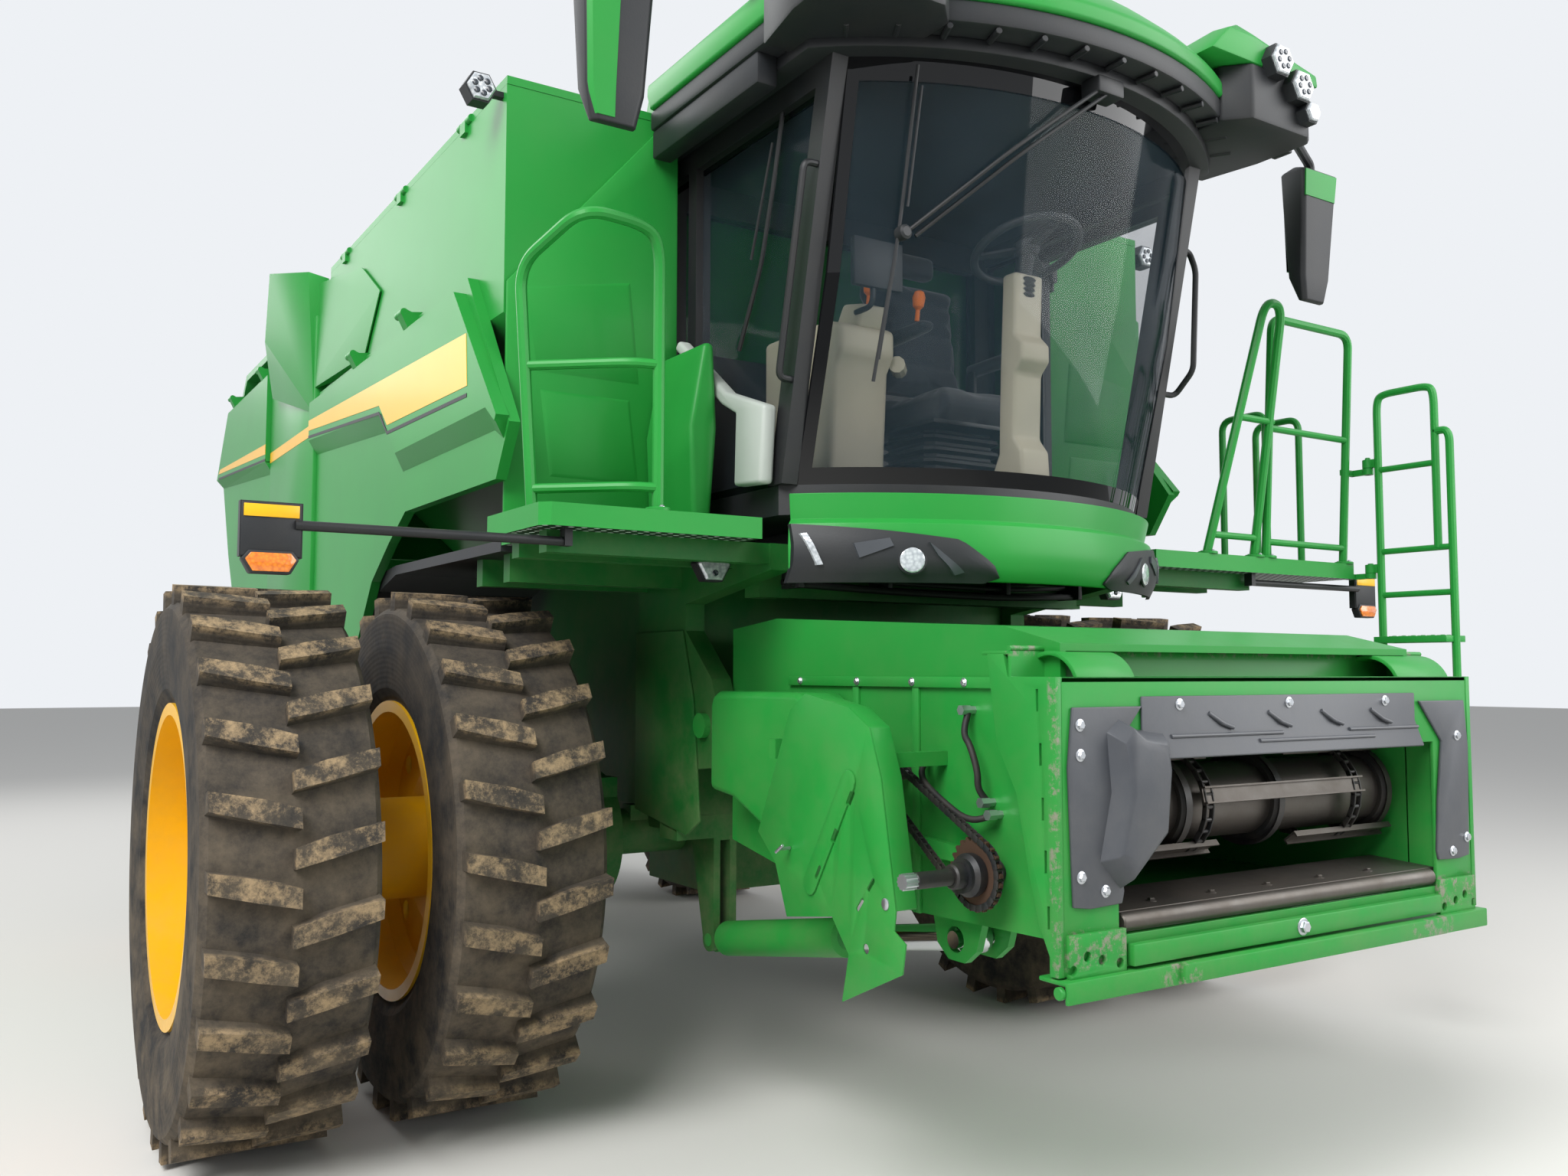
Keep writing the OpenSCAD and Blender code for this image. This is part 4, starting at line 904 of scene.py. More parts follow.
@dataclass(frozen=True)
class WorkLamp:
    """A hexagonal work lamp that faces forward: a lens in a black housing, with round optics on it."""

    place: Point
    radius: float
    depth: float = 48.0
    tip: float = 52.0
    bevel: float = 6.0
    optics: int = 6

    def lens(self) -> Piece:
        """Makes the lens."""
        r = self.radius
        return Bench.turned([(0, r), (self.depth, r), (self.tip, r - self.bevel)], mm(*self.place), FORWARD, 6)

    def housing(self) -> Piece:
        """Makes the housing behind and round the lens."""
        r, rim = self.radius, self.tip - 12
        return Bench.turned([(-18, r * 0.7), (-4, r + 7), (rim, r + 7), (rim, r)], mm(*self.place), FORWARD, 6)

    def eyes(self) -> list[Matrix]:
        """Gives the places of the optics, on a ring half as wide as the lens."""
        x, y, z = self.place
        turns = [2 * math.pi * (k + 0.25) / self.optics for k in range(self.optics)]
        return [Matrix.Translation(mm(x + self.tip - 1, y + self.radius * 0.5 * math.cos(a),
                                      z + self.radius * 0.5 * math.sin(a))) for a in turns]


@dataclass
class Roof:
    """Cab roof: green crown with raised corners over a black lining, and the machine's work lamps."""

    middle_x: float = 564.0
    crown: Route = ((3740, 1570, 1060), (3800, 1568, 1060), (3850, 1525, 1050), (3940, 1430, 935), (3985, 1180, 866))
    corner: Outline = ((500, 3860), (600, 3975), (735, 4040), (1100, 3905), (1108, 3860))
    corner_tops: Outline = ((1500, 3950), (1990, 4040), (2070, 3962))
    pocket: Outline = ((1560, 1058), (1560, 640), (1990, 640), (2070, 720), (2070, 1040), (2030, 1100), (1800, 1100))
    lamps: tuple[WorkLamp, ...] = (
        WorkLamp((2070, 835, 3880), 58), WorkLamp((2070, 953, 3812), 58), WorkLamp((2070, 1010, 3726), 38, optics=0),
        WorkLamp((1085, 980, 2015), 62, 44, 50, 7, 3), WorkLamp((650, 1690, 3690), 52, 64, 70))

    def plan(self, radius: float, half_w: float, rear: float) -> list[Flat]:
        """Gives the roof's outline from above."""
        reach = math.degrees(math.asin(half_w / radius))
        front = arc((self.middle_x, 0), radius, -reach, reach, 28)
        return [*front, (745 - (rear - 420), half_w), (740, min(half_w, 930)), (rear, min(half_w, 930)),
                (rear, -min(half_w, 930)), (740, -min(half_w, 930)), (745 - (rear - 420), -half_w)]

    def build(self) -> None:
        """Makes the crown, the lining, and the lamps of the roof, the tank and the platforms with their brackets."""
        crown = Bench.swept([[Plane.LEVEL.place(p, z) for p in self.plan(radius, half, 410 + (z - 3740) * 0.4)]
                             for z, radius, half in self.crown])
        corner = Bench.swept([[mm(x, y, min(z, top)) for y, z in self.corner] for x, top in self.corner_tops])
        Bench.done([Bench.soft_edges(crown, 14, 3), Bench.soft_edges(Bench.both(corner), 8)], "roof_crown",
                   GREEN_ENAMEL, "root", "roof_cap")
        self.lining()
        Bench.done(Bench.both([lamp.lens() for lamp in self.lamps]), "work_lamp_lenses", LAMP_LENS, "root", "lamps")
        rims = [lamp.housing() for lamp in self.lamps]
        rims += [Bench.box((1090, 970, 2060), (1110, 990, 2085)), Bench.box((660, 1590, 3680), (690, 1645, 3700))]
        Bench.done(Bench.both(rims), "work_lamp_housings", BLACK_MOULDING)
        eye = Bench.turned([(0, 11), (3, 11), (5, 8), (4, 1)], Vector(), FORWARD, 14)
        eyes = Bench.copies(eye, [place for lamp in self.lamps for place in lamp.eyes()])
        Bench.done(Bench.both(eyes), "lamp_optics", LED_OPTIC)

    def lining(self) -> None:
        """Makes the black underside with its corner housings, ribs and air outlets."""
        upper = Bench.plate(Plane.LEVEL, self.plan(1560, 1050, 420), 3665, 3740)
        lower = Bench.plate(Plane.LEVEL, self.plan(1470, 960, 450), 3620, 3666)
        pocket = Bench.both(Bench.plate(Plane.LEVEL, self.pocket, 3650, 3860))
        rail = Bench.both(Bench.box((745, 960, 3560), (1500, 1040, 3668)))
        parts = [Bench.soft_edges(p, width) for p, width in ((upper, 12), (lower, 16), (pocket, 14), (rail, 10))]
        for degrees in range(-36, 37, 6):
            a = math.radians(degrees)
            parts.append(Bench.bar((self.middle_x + 1475 * math.cos(a), 1475 * math.sin(a), 3655),
                                   (self.middle_x + 1552 * math.cos(a), 1552 * math.sin(a), 3655), 11, 8))
        Bench.done(parts, "roof_underside", BLACK_MOULDING, "root", "roof_liner")


@dataclass
class Mirrors:
    """Long mirrors on bent arms, with their painted panels."""

    heads: tuple[tuple[int, float], ...] = ((-1, 1640), (1, 1580))
    rows: tuple[tuple[float, ...], ...] = (
        (3200, 1680, 1712, 70), (3300, 1650, 1722, 92), (3600, 1642, 1744, 108), (3740, 1640, 1757, 114),
        (3760, 1690, 1712, 100))
    right_panel: tuple[tuple[float, ...], ...] = (
        (3215, 1713, 4, 66), (3300, 1722, 6, 86), (3600, 1744, 2, 102), (3735, 1756, 0, 108))
    left_panel: tuple[tuple[float, ...], ...] = ((3628, 1747, -102, 102), (3735, 1756, -108, 108))

    def build(self) -> None:
        """Makes the arms, the heads, the painted panels and the mirror glass."""
        black, painted, glass = [], [], []
        for side, middle in self.heads:
            arm = [(1900, 1120, 3690), (1890, 1180, 3772), (1720, middle - 60, 3802), (1700, middle, 3790),
                   (1700, middle, 3740)]
            black.append(Bench.tube([(x, side * y, z) for x, y, z in arm], 60, 20))
            black.append(Bench.box((1860, side * 1100, 3655), (1940, side * 1126, 3725), soft=6))
            black.append(Bench.soft_edges(self.head(side, middle), 6, 3))
            glass.append(Bench.plate(Plane.CROSS, [(side * (middle + off), z) for off, z in
                                                   ((-84, 3330), (84, 3330), (98, 3715), (-98, 3715))], 1640, 1636))
            painted.append(Bench.swept([[mm(front + dx, side * (middle + off), z) for dx, off in
                                         ((-3, a), (3, a), (3, b - 10), (-10, b + 2))]
                                        for z, front, a, b in (self.left_panel if side > 0 else self.right_panel)]))
        Bench.done(black, "mirror_heads", BLACK_MOULDING, "root", "mirrors")
        Bench.done(painted, "mirror_panels", GREEN_ENAMEL)
        Bench.done(glass, "mirror_glass", CHROME)

    def head(self, side: int, middle: float) -> Piece:
        """Makes one mirror's housing from its rows: height, back, front and half its width."""
        return Bench.swept([[mm(x, side * (middle + off), z) for x, off in
                             ((back, -half), (front - 14, -half), (front, 16 - half), (front, half - 16),
                              (front - 14, half), (back, half))] for z, back, front, half in self.rows])


@dataclass
class CabOutside:
    """Wipers, washer tank, grab bars and the sheets beside the cab."""

    wiper_hub: Point = (1752, -655, 3052)
    arm_gap: float = 22.0
    arm_r: float = 7.0
    tank: Outline = (
        (1190, 2280), (1365, 2270), (1390, 2530), (1130, 2620), (780, 2880), (750, 2850), (1100, 2580), (1200, 2530))
    right_grab: Route = ((1458, -875, 2607), (1458, -930, 2607), (1610, -930, 3284), (1610, -875, 3284))
    left_grab: Route = (
        (1494, 875, 2763), (1494, 950, 2763), (1589, 950, 2850), (1611, 950, 3250), (1580, 950, 3335),
        (1580, 875, 3335))
    grab_r: float = 12.0
    panel_x: float = 738.0
    panel_t: float = 17.0
    panel: Outline = ((960, 2151), (1594, 2151), (1594, 3010), (1010, 3680), (925, 3612), (925, 2600), (960, 2560))
    embossed: tuple[Outline, ...] = (
        ((1080, 2330), (1430, 2330), (1470, 2640), (1120, 2640)),
        ((1080, 2700), (1480, 2700), (1530, 3000), (1120, 3080)))
    cover: Outline = ((-972, 2151), (-1040, 2151), (-1055, 2500), (-1000, 2800), (-960, 2800), (-945, 2500))
    cover_x: float = 1085.0

    def build(self) -> None:
        """Makes each piece."""
        self.wipers()
        tank = Bench.plate(Plane.SIDE, self.tank, -944, -889)
        Bench.done(Bench.soft_edges(tank, 14, 3), "washer_tank", WHITE_POLY)
        grabs = [Bench.tube(points, 30, self.grab_r) for points in (self.right_grab, self.left_grab)]
        Bench.done(grabs, "grab_bars", BLACK_STEEL)
        self.panels()

    def wipers(self) -> None:
        """Makes the windshield's wiper and the side window's wiper."""
        arms = [Bench.tube([(2052, y, 3590), (1957, y - 330, 3330), (1768, y - 625, 3052)], 80, self.arm_r)
                for y in (-self.arm_gap, self.arm_gap)]
        motor = Bench.box((1975, -60, 3560), (2060, 60, 3619), soft=8)
        Bench.done([motor, *arms], "wiper_arms", BLACK_STEEL, "root", "wipers")
        blade = [Bench.tube(points, bend, radius) for points, bend, radius in (
            ([(1858, -660, 3570), (1764, -665, 3060), (1641, -680, 2590)], 120, 6),
            ([(1868, -652, 3500), (1795, -655, 3130)], 40, 4), ([(1748, -665, 2990), (1662, -672, 2660)], 40, 4))]
        blade.append(Bench.turned([(0, 24), (34, 24), (40, 16)], mm(*self.wiper_hub), FORWARD, 12))
        Bench.done(blade, "wiper_blade", BLACK_MOULDING)
        side = [Bench.tube([(1389, -868, 3560), (1341, -872, 3331), (1253, -872, 3045), (1099, -868, 2782)],
                           60, 8),
                Bench.tube([(1340, -880, 3450), (1201, -880, 3080)], 30, 5)]
        Bench.done(side, "side_wiper", BLACK_STEEL)

    def panels(self) -> None:
        """Makes the sheets beside the cab with their embossed fields, and the washer's cover."""
        panel = Bench.plate(Plane.CROSS, self.panel, self.panel_x - self.panel_t, self.panel_x)
        Bench.done(Bench.both(Bench.soft_edges(panel, 5)), "front_panels", GREEN_ENAMEL)
        fields = []
        for outline in self.embossed:
            middle = sum((Vector(p) for p in outline), Vector((0, 0))) / len(outline)
            inner = [middle + (Vector(p) - middle) * 0.9 for p in outline]
            fields.append(Bench.swept([[Plane.CROSS.place(p, self.panel_x + proud) for p in ring]
                                       for ring, proud in ((outline, -1), (inner, 7))]))
        Bench.done(Bench.both(fields), "panel_fields", GREEN_ENAMEL)
        cover = Bench.plate(Plane.CROSS, self.cover, self.panel_x - 1, self.cover_x)
        Bench.done(Bench.soft_edges(cover, 18, 3), "washer_cover", GREEN_ENAMEL)


@dataclass
class Pad:
    """A cushion that cloth simulation puffs out of its plain block."""

    name: str
    outline: Outline
    low_y: float
    high_y: float
    channels: tuple[float, ...] = ()
    cap: float = 24.0
    fill: float = 0.8

    def build(self) -> None:
        """Makes, puffs and dresses the cushion."""
        pad = Bench.plate(Plane.SIDE, self.outline, self.low_y, self.high_y, soft=24, segments=3)
        Bench.modified(pad, "REMESH", mode="VOXEL", voxel_size=0.013)
        self.puff(pad)
        for channel in self.channels:
            for vertex in pad.data.vertices:
                off = abs(vertex.co.z - channel / 1000)
                if off < 0.022:
                    vertex.co -= vertex.normal * 0.007 * (1 - off / 0.022)
        Bench.modified(pad, "SUBSURF", levels=1, render_levels=1)
        Bench.done(pad, self.name, SEAT_CLOTH)

    def puff(self, pad: Piece) -> None:
        """Swells the cushion with Blender's Cloth and caps how far each point moves."""
        Bench.hold(pad)
        start = [vertex.co.copy() for vertex in pad.data.vertices]
        cloth = pad.modifiers.new("puff", "CLOTH")
        cloth.settings.quality = 5
        cloth.settings.use_pressure = True
        cloth.settings.uniform_pressure_force = 4.0
        cloth.settings.effector_weights.gravity = 0.0
        for frame in range(1, 21):
            bpy.context.scene.frame_set(frame)
        bpy.ops.object.modifier_apply(modifier="puff")
        bpy.context.scene.frame_set(1)
        for vertex, before in zip(pad.data.vertices, start):
            step = vertex.co - before
            if step.length > self.cap / 1000:
                vertex.co = before + step.normalized() * self.cap / 1000


@dataclass
class CabInside:
    """Seat, console with its levers, and steering column."""

    console: Outline = ((900, 2271), (1330, 2271), (1360, 2700), (1400, 2760), (1400, 2850), (1300, 2880), (900, 2880))
    console_rest: Outline = ((1250, 2875), (1390, 2845), (1420, 2925), (1300, 2950))
    tower: Outline = (
        (1530, 2271), (1690, 2271), (1680, 2420), (1640, 2470), (1650, 2700), (1690, 2740), (1690, 2800), (1650, 2840),
        (1660, 3060), (1590, 3060), (1570, 2700), (1560, 2420), (1530, 2360))
    wheel_middle: Point = (1645, 0, 3150)
    wheel_tilt: float = 20.0

    def build(self) -> None:
        """Makes each piece."""
        frame = [Bench.box((985, -205, 2271), (1320, 205, 2320), soft=6),
                 Bench.box((975, -220, 2548), (1390, 220, 2566), soft=4)]
        frame += [Bench.box((1040, side * 232, 2560), (1092, side * 250, 2850), soft=5) for side in (1, -1)]
        Bench.done(frame, "seat_frame", BLACK_STEEL, "root", "seat")
        rings = []
        for i in range(21):
            grow = 14 if i % 4 in (1, 2) else -6
            x0, x1, half, z = 1010 - grow, 1300 + grow, 170 + grow, 2322 + i * 11.2
            rings.append([mm(x0, -half + 30, z), mm(x0 + 30, -half, z), mm(x1 - 30, -half, z), mm(x1, -half + 30, z),
                          mm(x1, half - 30, z), mm(x1 - 30, half, z), mm(x0 + 30, half, z), mm(x0, half - 30, z)])
        Bench.done(Bench.swept(rings), "seat_bellows", HOSE_RUBBER)
        Pad("seat_cushion", ((985, 2575), (1415, 2575), (1445, 2620), (1425, 2668), (1090, 2664), (985, 2690)),
            -222, 222).build()
        Pad("seat_back", ((962, 2715), (1068, 2705), (1005, 3160), (1000, 3205), (908, 3222), (885, 3180)),
            -212, 212, channels=(2850, 2980, 3110)).build()
        Pad("seat_headrest", ((905, 3236), (985, 3228), (985, 3325), (915, 3330)), -130, 130, cap=14).build()
        for side, name in SIDES:
            Pad(f"armrest_{name}", ((1010, 2845), (1430, 2862), (1452, 2888), (1430, 2905), (1010, 2893)),
                *sorted((side * 252, side * 314)), cap=8, fill=0.95).build()
        self.controls()
        self.column()

    def controls(self) -> None:
        """Makes the console with its levers and display."""
        body = Bench.plate(Plane.SIDE, self.console, -640, -400, soft=22, segments=3)
        rest = Bench.plate(Plane.SIDE, self.console_rest, -560, -440, soft=14, segments=3)
        Bench.done([body, rest], "side_console", TRIM_ABS, "root", "console")
        tube = Bench.tube([(1180, -215, 2780), (1290, -300, 2745), (1380, -380, 2740)], 60, 30)
        Bench.done(tube, "console_link", TRIM_ABS)
        knobs = [Bench.turned([(0, 9), (40, 8), (52, 20), (84, 24), (104, 17), (110, 6)], mm(x, y, z),
                              Vector((0.15, 0, 1)), 16) for x, y, z in ((1395, -300, 2905), (1330, -470, 2945))]
        Bench.done(knobs, "drive_levers", ORANGE_ABS)
        screen = Bench.box((1470, -650, 2960), (1496, -440, 3130), soft=6)
        stem = Bench.tube([(1380, -560, 2900), (1480, -560, 2900), (1480, -560, 2980)], 40, 10)
        Bench.done([screen, stem], "display", BLACK_MOULDING)

    def column(self) -> None:
        """Makes the steering column and the wheel."""
        tower = Bench.plate(Plane.SIDE, self.tower, -68, 68, soft=14, segments=3)
        Bench.done(tower, "steering_tower", TRIM_ABS, "root", "steering_column")
        tilt = Matrix.Translation(mm(*self.wheel_middle)) @ Matrix.Rotation(math.radians(-self.wheel_tilt), 4, "Y")
        bpy.ops.object.select_all(action="DESELECT")
        bpy.ops.mesh.primitive_torus_add(major_radius=0.19, minor_radius=0.015, major_segments=56, minor_segments=14)
        wheel = [bpy.context.object]
        for turn in (0, 120, 240):
            spoke = Bench.soft_edges(Bench.swept([[Vector((x, s * (0.024 - 0.05 * x), z)) for s, z in
                                                   ((-1, -0.006), (1, -0.006), (1, 0.006), (-1, 0.006))]
                                                  for x in (0.02, 0.185)]), 3)
            spoke.data.transform(Matrix.Rotation(math.radians(turn), 4, "Z"))
            wheel.append(spoke)
        wheel.append(Bench.turned([(-30, 30), (-12, 46), (16, 48), (26, 40), (28, 2)], Vector(), UP, 28))
        rim = Bench.joined(wheel)
        rim.data.transform(tilt)
        stem = Bench.bar((1618, 0, 3040), (1645, 0, 3140), 32)
        Bench.done([rim, stem], "steering_wheel", BLACK_MOULDING)
        gaiter = [(i * 9, 46 if i % 2 else 38) for i in range(9)]
        Bench.done(Bench.turned(gaiter, mm(1621, 0, 2980), Vector((0.1, 0, 1)), 20), "column_gaiter", HOSE_RUBBER)


@dataclass
class Rails:
    """Green handrails with smooth bends, and the access ladder."""

    deck_z: float = 2150.0
    lean: float = 0.158
    end_lean: float = 0.055
    rail_r: float = 19.0
    ladder_y: float = 2340.0
    left_end: float = 2270.0
    hinge_x: float = 1440.0
    ladder_x: Flat = (1492.0, 1832.0)
    hinge_zs: Flat = (2105.0, 2595.0)
    step_zs: tuple[float, ...] = (660, 940, 1220, 1500, 1780)

    def leaned(self, y: float, z: float) -> Point:
        """Gives a point of the left rails, where the outer one leans less to clear the folded ladder."""
        return (1345 + (self.lean if y < 1700 else self.end_lean) * (z - self.deck_z), y, z)

    def build(self) -> None:
        """Makes the rails and the ladder."""
        foot, r, lean = self.deck_z + 4, self.rail_r, self.leaned
        tubes = [([(1355, -1315, foot), (1355, -1315, 3010), (1365, -1370, 3060), (1400, -1600, 3060),
                   (1110, -1690, 2945), (1115, -1640, foot)], r, 90),
                 ([(1355, -1315, 2620), (1340, -1400, 2620), (1112, -1668, 2620)], r - 3, 60),
                 ([(1355, -1315, 2225), (1340, -1400, 2225), (1115, -1645, 2225)], r - 3, 60),
                 ([lean(1310, foot), lean(1510, 3237), lean(1625, 3237), lean(1621, foot)], r, 90),
                 ([lean(1705, foot), lean(1705, 3222), lean(self.left_end, 3222), lean(self.left_end, foot)], r, 70)]
        tubes += [([lean(1705, z), lean(self.left_end, z)], r - 4, 10) for z in (2225, 2730)]
        tubes += [([lean(1326 + (z - 2235) * 0.187, z), lean(1625 + (z - 2235) * 0.043, z)], r - 4, 10)
                  for z in (2235, 2740)]
        tubes += [([(1190, y, foot), (1190, y, 2854), (950, y, 2854), (950, y, foot)], r - 3, 60) for y in (1930, 2180)]
        parts = [Bench.tube(points, bend, radius, 8) for points, radius, bend in tubes]
        feet = [(1355, -1315), (1115, -1640), (1350, 1310), (1350, 1621), (1350, 1705), (1350, self.left_end),
                (950, 1930), (1190, 1930), (950, 2180), (1190, 2180)]
        parts += [Bench.turned([(0, 42), (8, 42), (11, 38)], mm(x, y, self.deck_z + 0.5), UP, 20) for x, y in feet]
        hinge = [Bench.joined([Bench.box((1350, 2255, 2566), (1372, self.ladder_y + 12, 2594)),
                               Bench.box((1350, self.ladder_y - 12, 2566), (self.hinge_x, self.ladder_y + 12, 2594))]),
                 Bench.turned([(0, 24), (29, 24)], mm(self.hinge_x, self.ladder_y, 2565), UP),
                 Bench.turned([(0, 12), (76, 12), (80, 10)], mm(self.hinge_x, self.ladder_y, 2565), UP)]
        Bench.done(parts + [Bench.soft_edges(hinge[0], 3), *hinge[1:]], "platform_rails", GREEN_ENAMEL,
                   "root", "handrails")
        spots = [(x + dx, y + dy, self.deck_z + 11) for x, y in feet for dx, dy in ((-28, 0), (28, 0))]
        Bench.done(Bench.bolts(spots, UP, 7), "rail_bolts", ZINC)
        self.ladder()

    def ladder(self) -> None:
        """Makes the access ladder with its punched steps."""
        y, (a, b) = self.ladder_y, self.ladder_x
        tubes = [([(a, y, 640), (a, y, 2890), (a + 20, y, 2930), (b - 86, y, 2930), (b - 66, y, 2890),
                   (b - 66, y, 2200)], 17, 60),
                 ([(b, y, 640), (b, y, 2720), (b - 66, y, 2720)], 17, 60),
                 ([(a, y, 2580), (b - 66, y, 2580)], 14, 10), ([(a, y, 2200), (b, y, 2200)], 14, 10),
                 ([(a, y, 2000), (b, y, 2000)], 14, 10)]
        parts = [Bench.tube(points, bend, radius, 8) for points, radius, bend in tubes]
        for z in self.hinge_zs:
            parts += [Bench.turned([(0, 22), (2, 24), (38, 24), (40, 22)], mm(self.hinge_x, y, z), UP),
                      Bench.box((self.hinge_x, y - 12, z), (a, y + 12, z + 40), soft=3)]
        for z in self.step_zs:
            tray = Bench.box((a, y - 75, z), (b, y + 75, z + 28))
            tray = Bench.cut(tray, Bench.box((a + 12, y - 68, z - 2), (b - 12, y + 68, z + 22)))
            parts.append(Bench.soft_edges(tray, 2))
            teeth = Bench.turned([(0, 10), (4, 10), (5, 6)], Vector(), UP, 10)
            parts.append(Bench.copies(teeth, [Matrix.Translation(mm(x, y + dy, z + 27)) for dy in (-45, 0, 45)
                                              for x in range(1530, 1810, 45)]))
        Bench.done(parts, "ladder_frame", GREEN_ENAMEL, "access_ladder", "ladder")


@dataclass
class Markers:
    """Wide-load marker panels at the platforms' ends."""

    board_x: float = 1334.0
    board: Outline = ((2384, 1952), (2538, 1952), (2538, 2098), (2384, 2098))
    bezel: Outline = ((2388, 1945), (2406, 1968), (2518, 1968), (2536, 1945), (2514, 1905), (2410, 1905))
    reflector: Outline = ((2390, 2058), (2532, 2058), (2532, 2092), (2390, 2092))
    amber: Outline = ((2397, 1943), (2411, 1961), (2513, 1961), (2527, 1943), (2508, 1911), (2416, 1911))

    def build(self) -> None:
        """Makes the boards, the yellow reflectors and the amber lamps."""
        face = self.board_x
        bases = [Bench.plate(Plane.CROSS, outline, low, high, soft=width) for outline, low, high, width in
                 ((self.board, face - 5, face, 3), (self.bezel, face - 32, face + 6, 4))]
        Bench.done(Bench.both(bases), "marker_boards", BLACK_MOULDING)
        strip = Bench.plate(Plane.CROSS, self.reflector, face - 1, face + 3)
        Bench.done(Bench.both(Bench.soft_edges(strip, 1.5)), "marker_reflectors", YELLOW_ENAMEL)
        lamp = Bench.plate(Plane.CROSS, self.amber, face + 5, face + 12)
        Bench.done(Bench.both(Bench.soft_edges(lamp, 2)), "marker_lamps", AMBER_LENS)


@dataclass
class FeederFront:
    """Header frame, deflectors, floor, conveyor and drive at the feeder house's front."""

    back: float = -50.0
    shift: float = 30.0
    half: float = 918.0
    body: str = "feeder"
    drum: Flat = (2450.0, 1270.0)
    rear_shaft: Flat = (1030.0, 1440.0)
    ring_ys: tuple[float, ...] = (-690, -266, 141, 679)
    chain_r: float = 147.0
    chain_ys: tuple[float, ...] = (-560, -191, 498)
    drum_slats: Route = ((-215, 520, 12), (-600, -113, -52), (241, 724, -52), (-600, -113, 68), (241, 724, 68))
    drive: Flat = (2320.0, 1107.0)
    upper: Flat = (1925.0, 1351.0)
    gusset: Outline = (
        (2463, 1692), (2525, 1692), (2540, 1633), (2710, 1633), (2710, 905), (2680, 905), (2680, 952), (2644, 1023),
        (2612, 1139), (2568, 1340), (2497, 1462))
    slots: Outline = ((2646, 1575), (2656, 1441), (2662, 1307), (2670, 1179), (2678, 1045))
    hook_plate: Outline = (
        (2540, 1618), (2709, 1618), (2709, 1633), (2552, 1633), (2552, 1700), (2440, 1700), (2440, 1690), (2540, 1690))
    roof: Outline = ((2606, 1598), (2698, 1598), (2698, 1618), (2480, 1618), (2480, 1716), (2460, 1716), (2460, 1598))
    beam: Outline = ((2640, 900), (2740, 900), (2740, 845), (2728, 845), (2728, 888), (2640, 888))
    latch_holes: Outline = ((880, 921), (832, 950), (781, 936), (718, 922))
    bolt_spots: Route = (
        (2716.3, -445, 1561), (2716.3, 13, 1561), (2716.3, 473, 1561), (2719.3, -815, 1514), (2719.3, -815, 1440),
        (2719.3, -817, 1142), (2719.3, -734, 1102), (2719.3, 850, 1447), (2719.3, 889, 1126), (2719.3, 807, 1088))
    wing: Outline = (
        (885, 1410), (868, 1558), (620, 1558), (738, 1431), (710, 1252), (695, 1095), (703, 1066), (813, 1062),
        (872, 1070))
    bulge_foot: Outline = (
        (753, 1497), (706, 1528), (653, 1500), (540, 1488), (526, 1400), (552, 1220), (710, 1100), (783, 1173),
        (739, 1344))
    bulge_crest: Outline = (
        (715, 1460), (690, 1500), (655, 1478), (575, 1465), (562, 1395), (580, 1240), (700, 1135), (745, 1190),
        (705, 1340))
    bulge_rows: Route = (
        (2710.3, 0.0, 0.0), (2716, 0.0, 0.0), (2738, 0.45, 0.0), (2756, 0.8, 0.0), (2765, 1.0, 0.04), (2768, 1.0, 0.2))
    seal: Outline = ((2710.3, 1583), (2716.3, 1583), (2716.3, 1500), (2744.3, 1424), (2738.3, 1420), (2710.3, 1492))
    floor_sheet: Outline = (
        (2690, 1040), (2480, 1052), (2300, 970), (2300, 956), (2310, 956), (2485, 1040), (2690, 1028))
    guard_sheet: Outline = (
        (1714, 1529), (1796, 1582), (2016, 1545), (2111, 1493), (2163, 1360), (2227, 1014), (2219, 961), (2269, 935),
        (2254, 854), (1982, 728), (2014, 862), (1933, 954), (1697, 917), (1631, 1071), (1533, 1152))
    guard_rim: Outline = (
        *guard_sheet[:6], (2219, 1012), (2155, 1358), (2104, 1487), (2013, 1537), (1798, 1573), (1719, 1521))
    gearcase: Outline = (
        (1045, 1240), (1045, 1530), (1062, 1566), (1098, 1579), (1590, 1579), (1626, 1562), (1640, 1530), (1640, 1330),
        (1560, 1222), (1400, 1139), (1200, 1222))
    gearcase_rest: Outline = ((2000, 1120), (2264, 1116), (2264, 1159), (2000, 1170))
    ridge_vents: Route = ((2028, 1294, 58), (1953, 1184, 58), (1873, 1071, 58))
    sheet_vents: Route = ((2118, 1068, 50), (2067, 1007, 50))
    upper_hose: Route = (
        (2225, -790, 1540), (2238, -822, 1475), (2274, -828, 1448), (2303, -826, 1374), (2296, -822, 1330),
        (2302, -790, 1292))
    lower_hose: Route = (
        (2331, -790, 1262), (2270, -832, 1238), (2160, -838, 1290), (2060, -834, 1345), (2040, -790, 1400))
    hose_r: float = 9.5

    def side(self, points: Sequence[Flat], low: float, high: float) -> Piece:
        """Makes a plate in the side view, moved with the header frame."""
        return Bench.plate(Plane.SIDE, [(x + self.back, z) for x, z in points], low + self.shift, high + self.shift)

    def cross(self, points: Sequence[Flat], low: float, high: float) -> Piece:
        """Makes a plate in the front view, moved with the header frame."""
        return Bench.plate(Plane.CROSS, [(y + self.shift, z) for y, z in points], low + self.back, high + self.back)

    def rod(self, x: float, z: float, low: float, high: float, radius: float, sides: int = 24) -> Piece:
        """Makes a bar across the machine, moved with the header frame."""
        return Bench.bar((x + self.back, low + self.shift, z), (x + self.back, high + self.shift, z), radius, sides)

    def build(self) -> None:
        """Makes each piece."""
        self.frame()
        self.beams()
        self.deflectors()
        self.floor()
        self.conveyor()
        self.drives()
        self.guard()
        self.hoses()

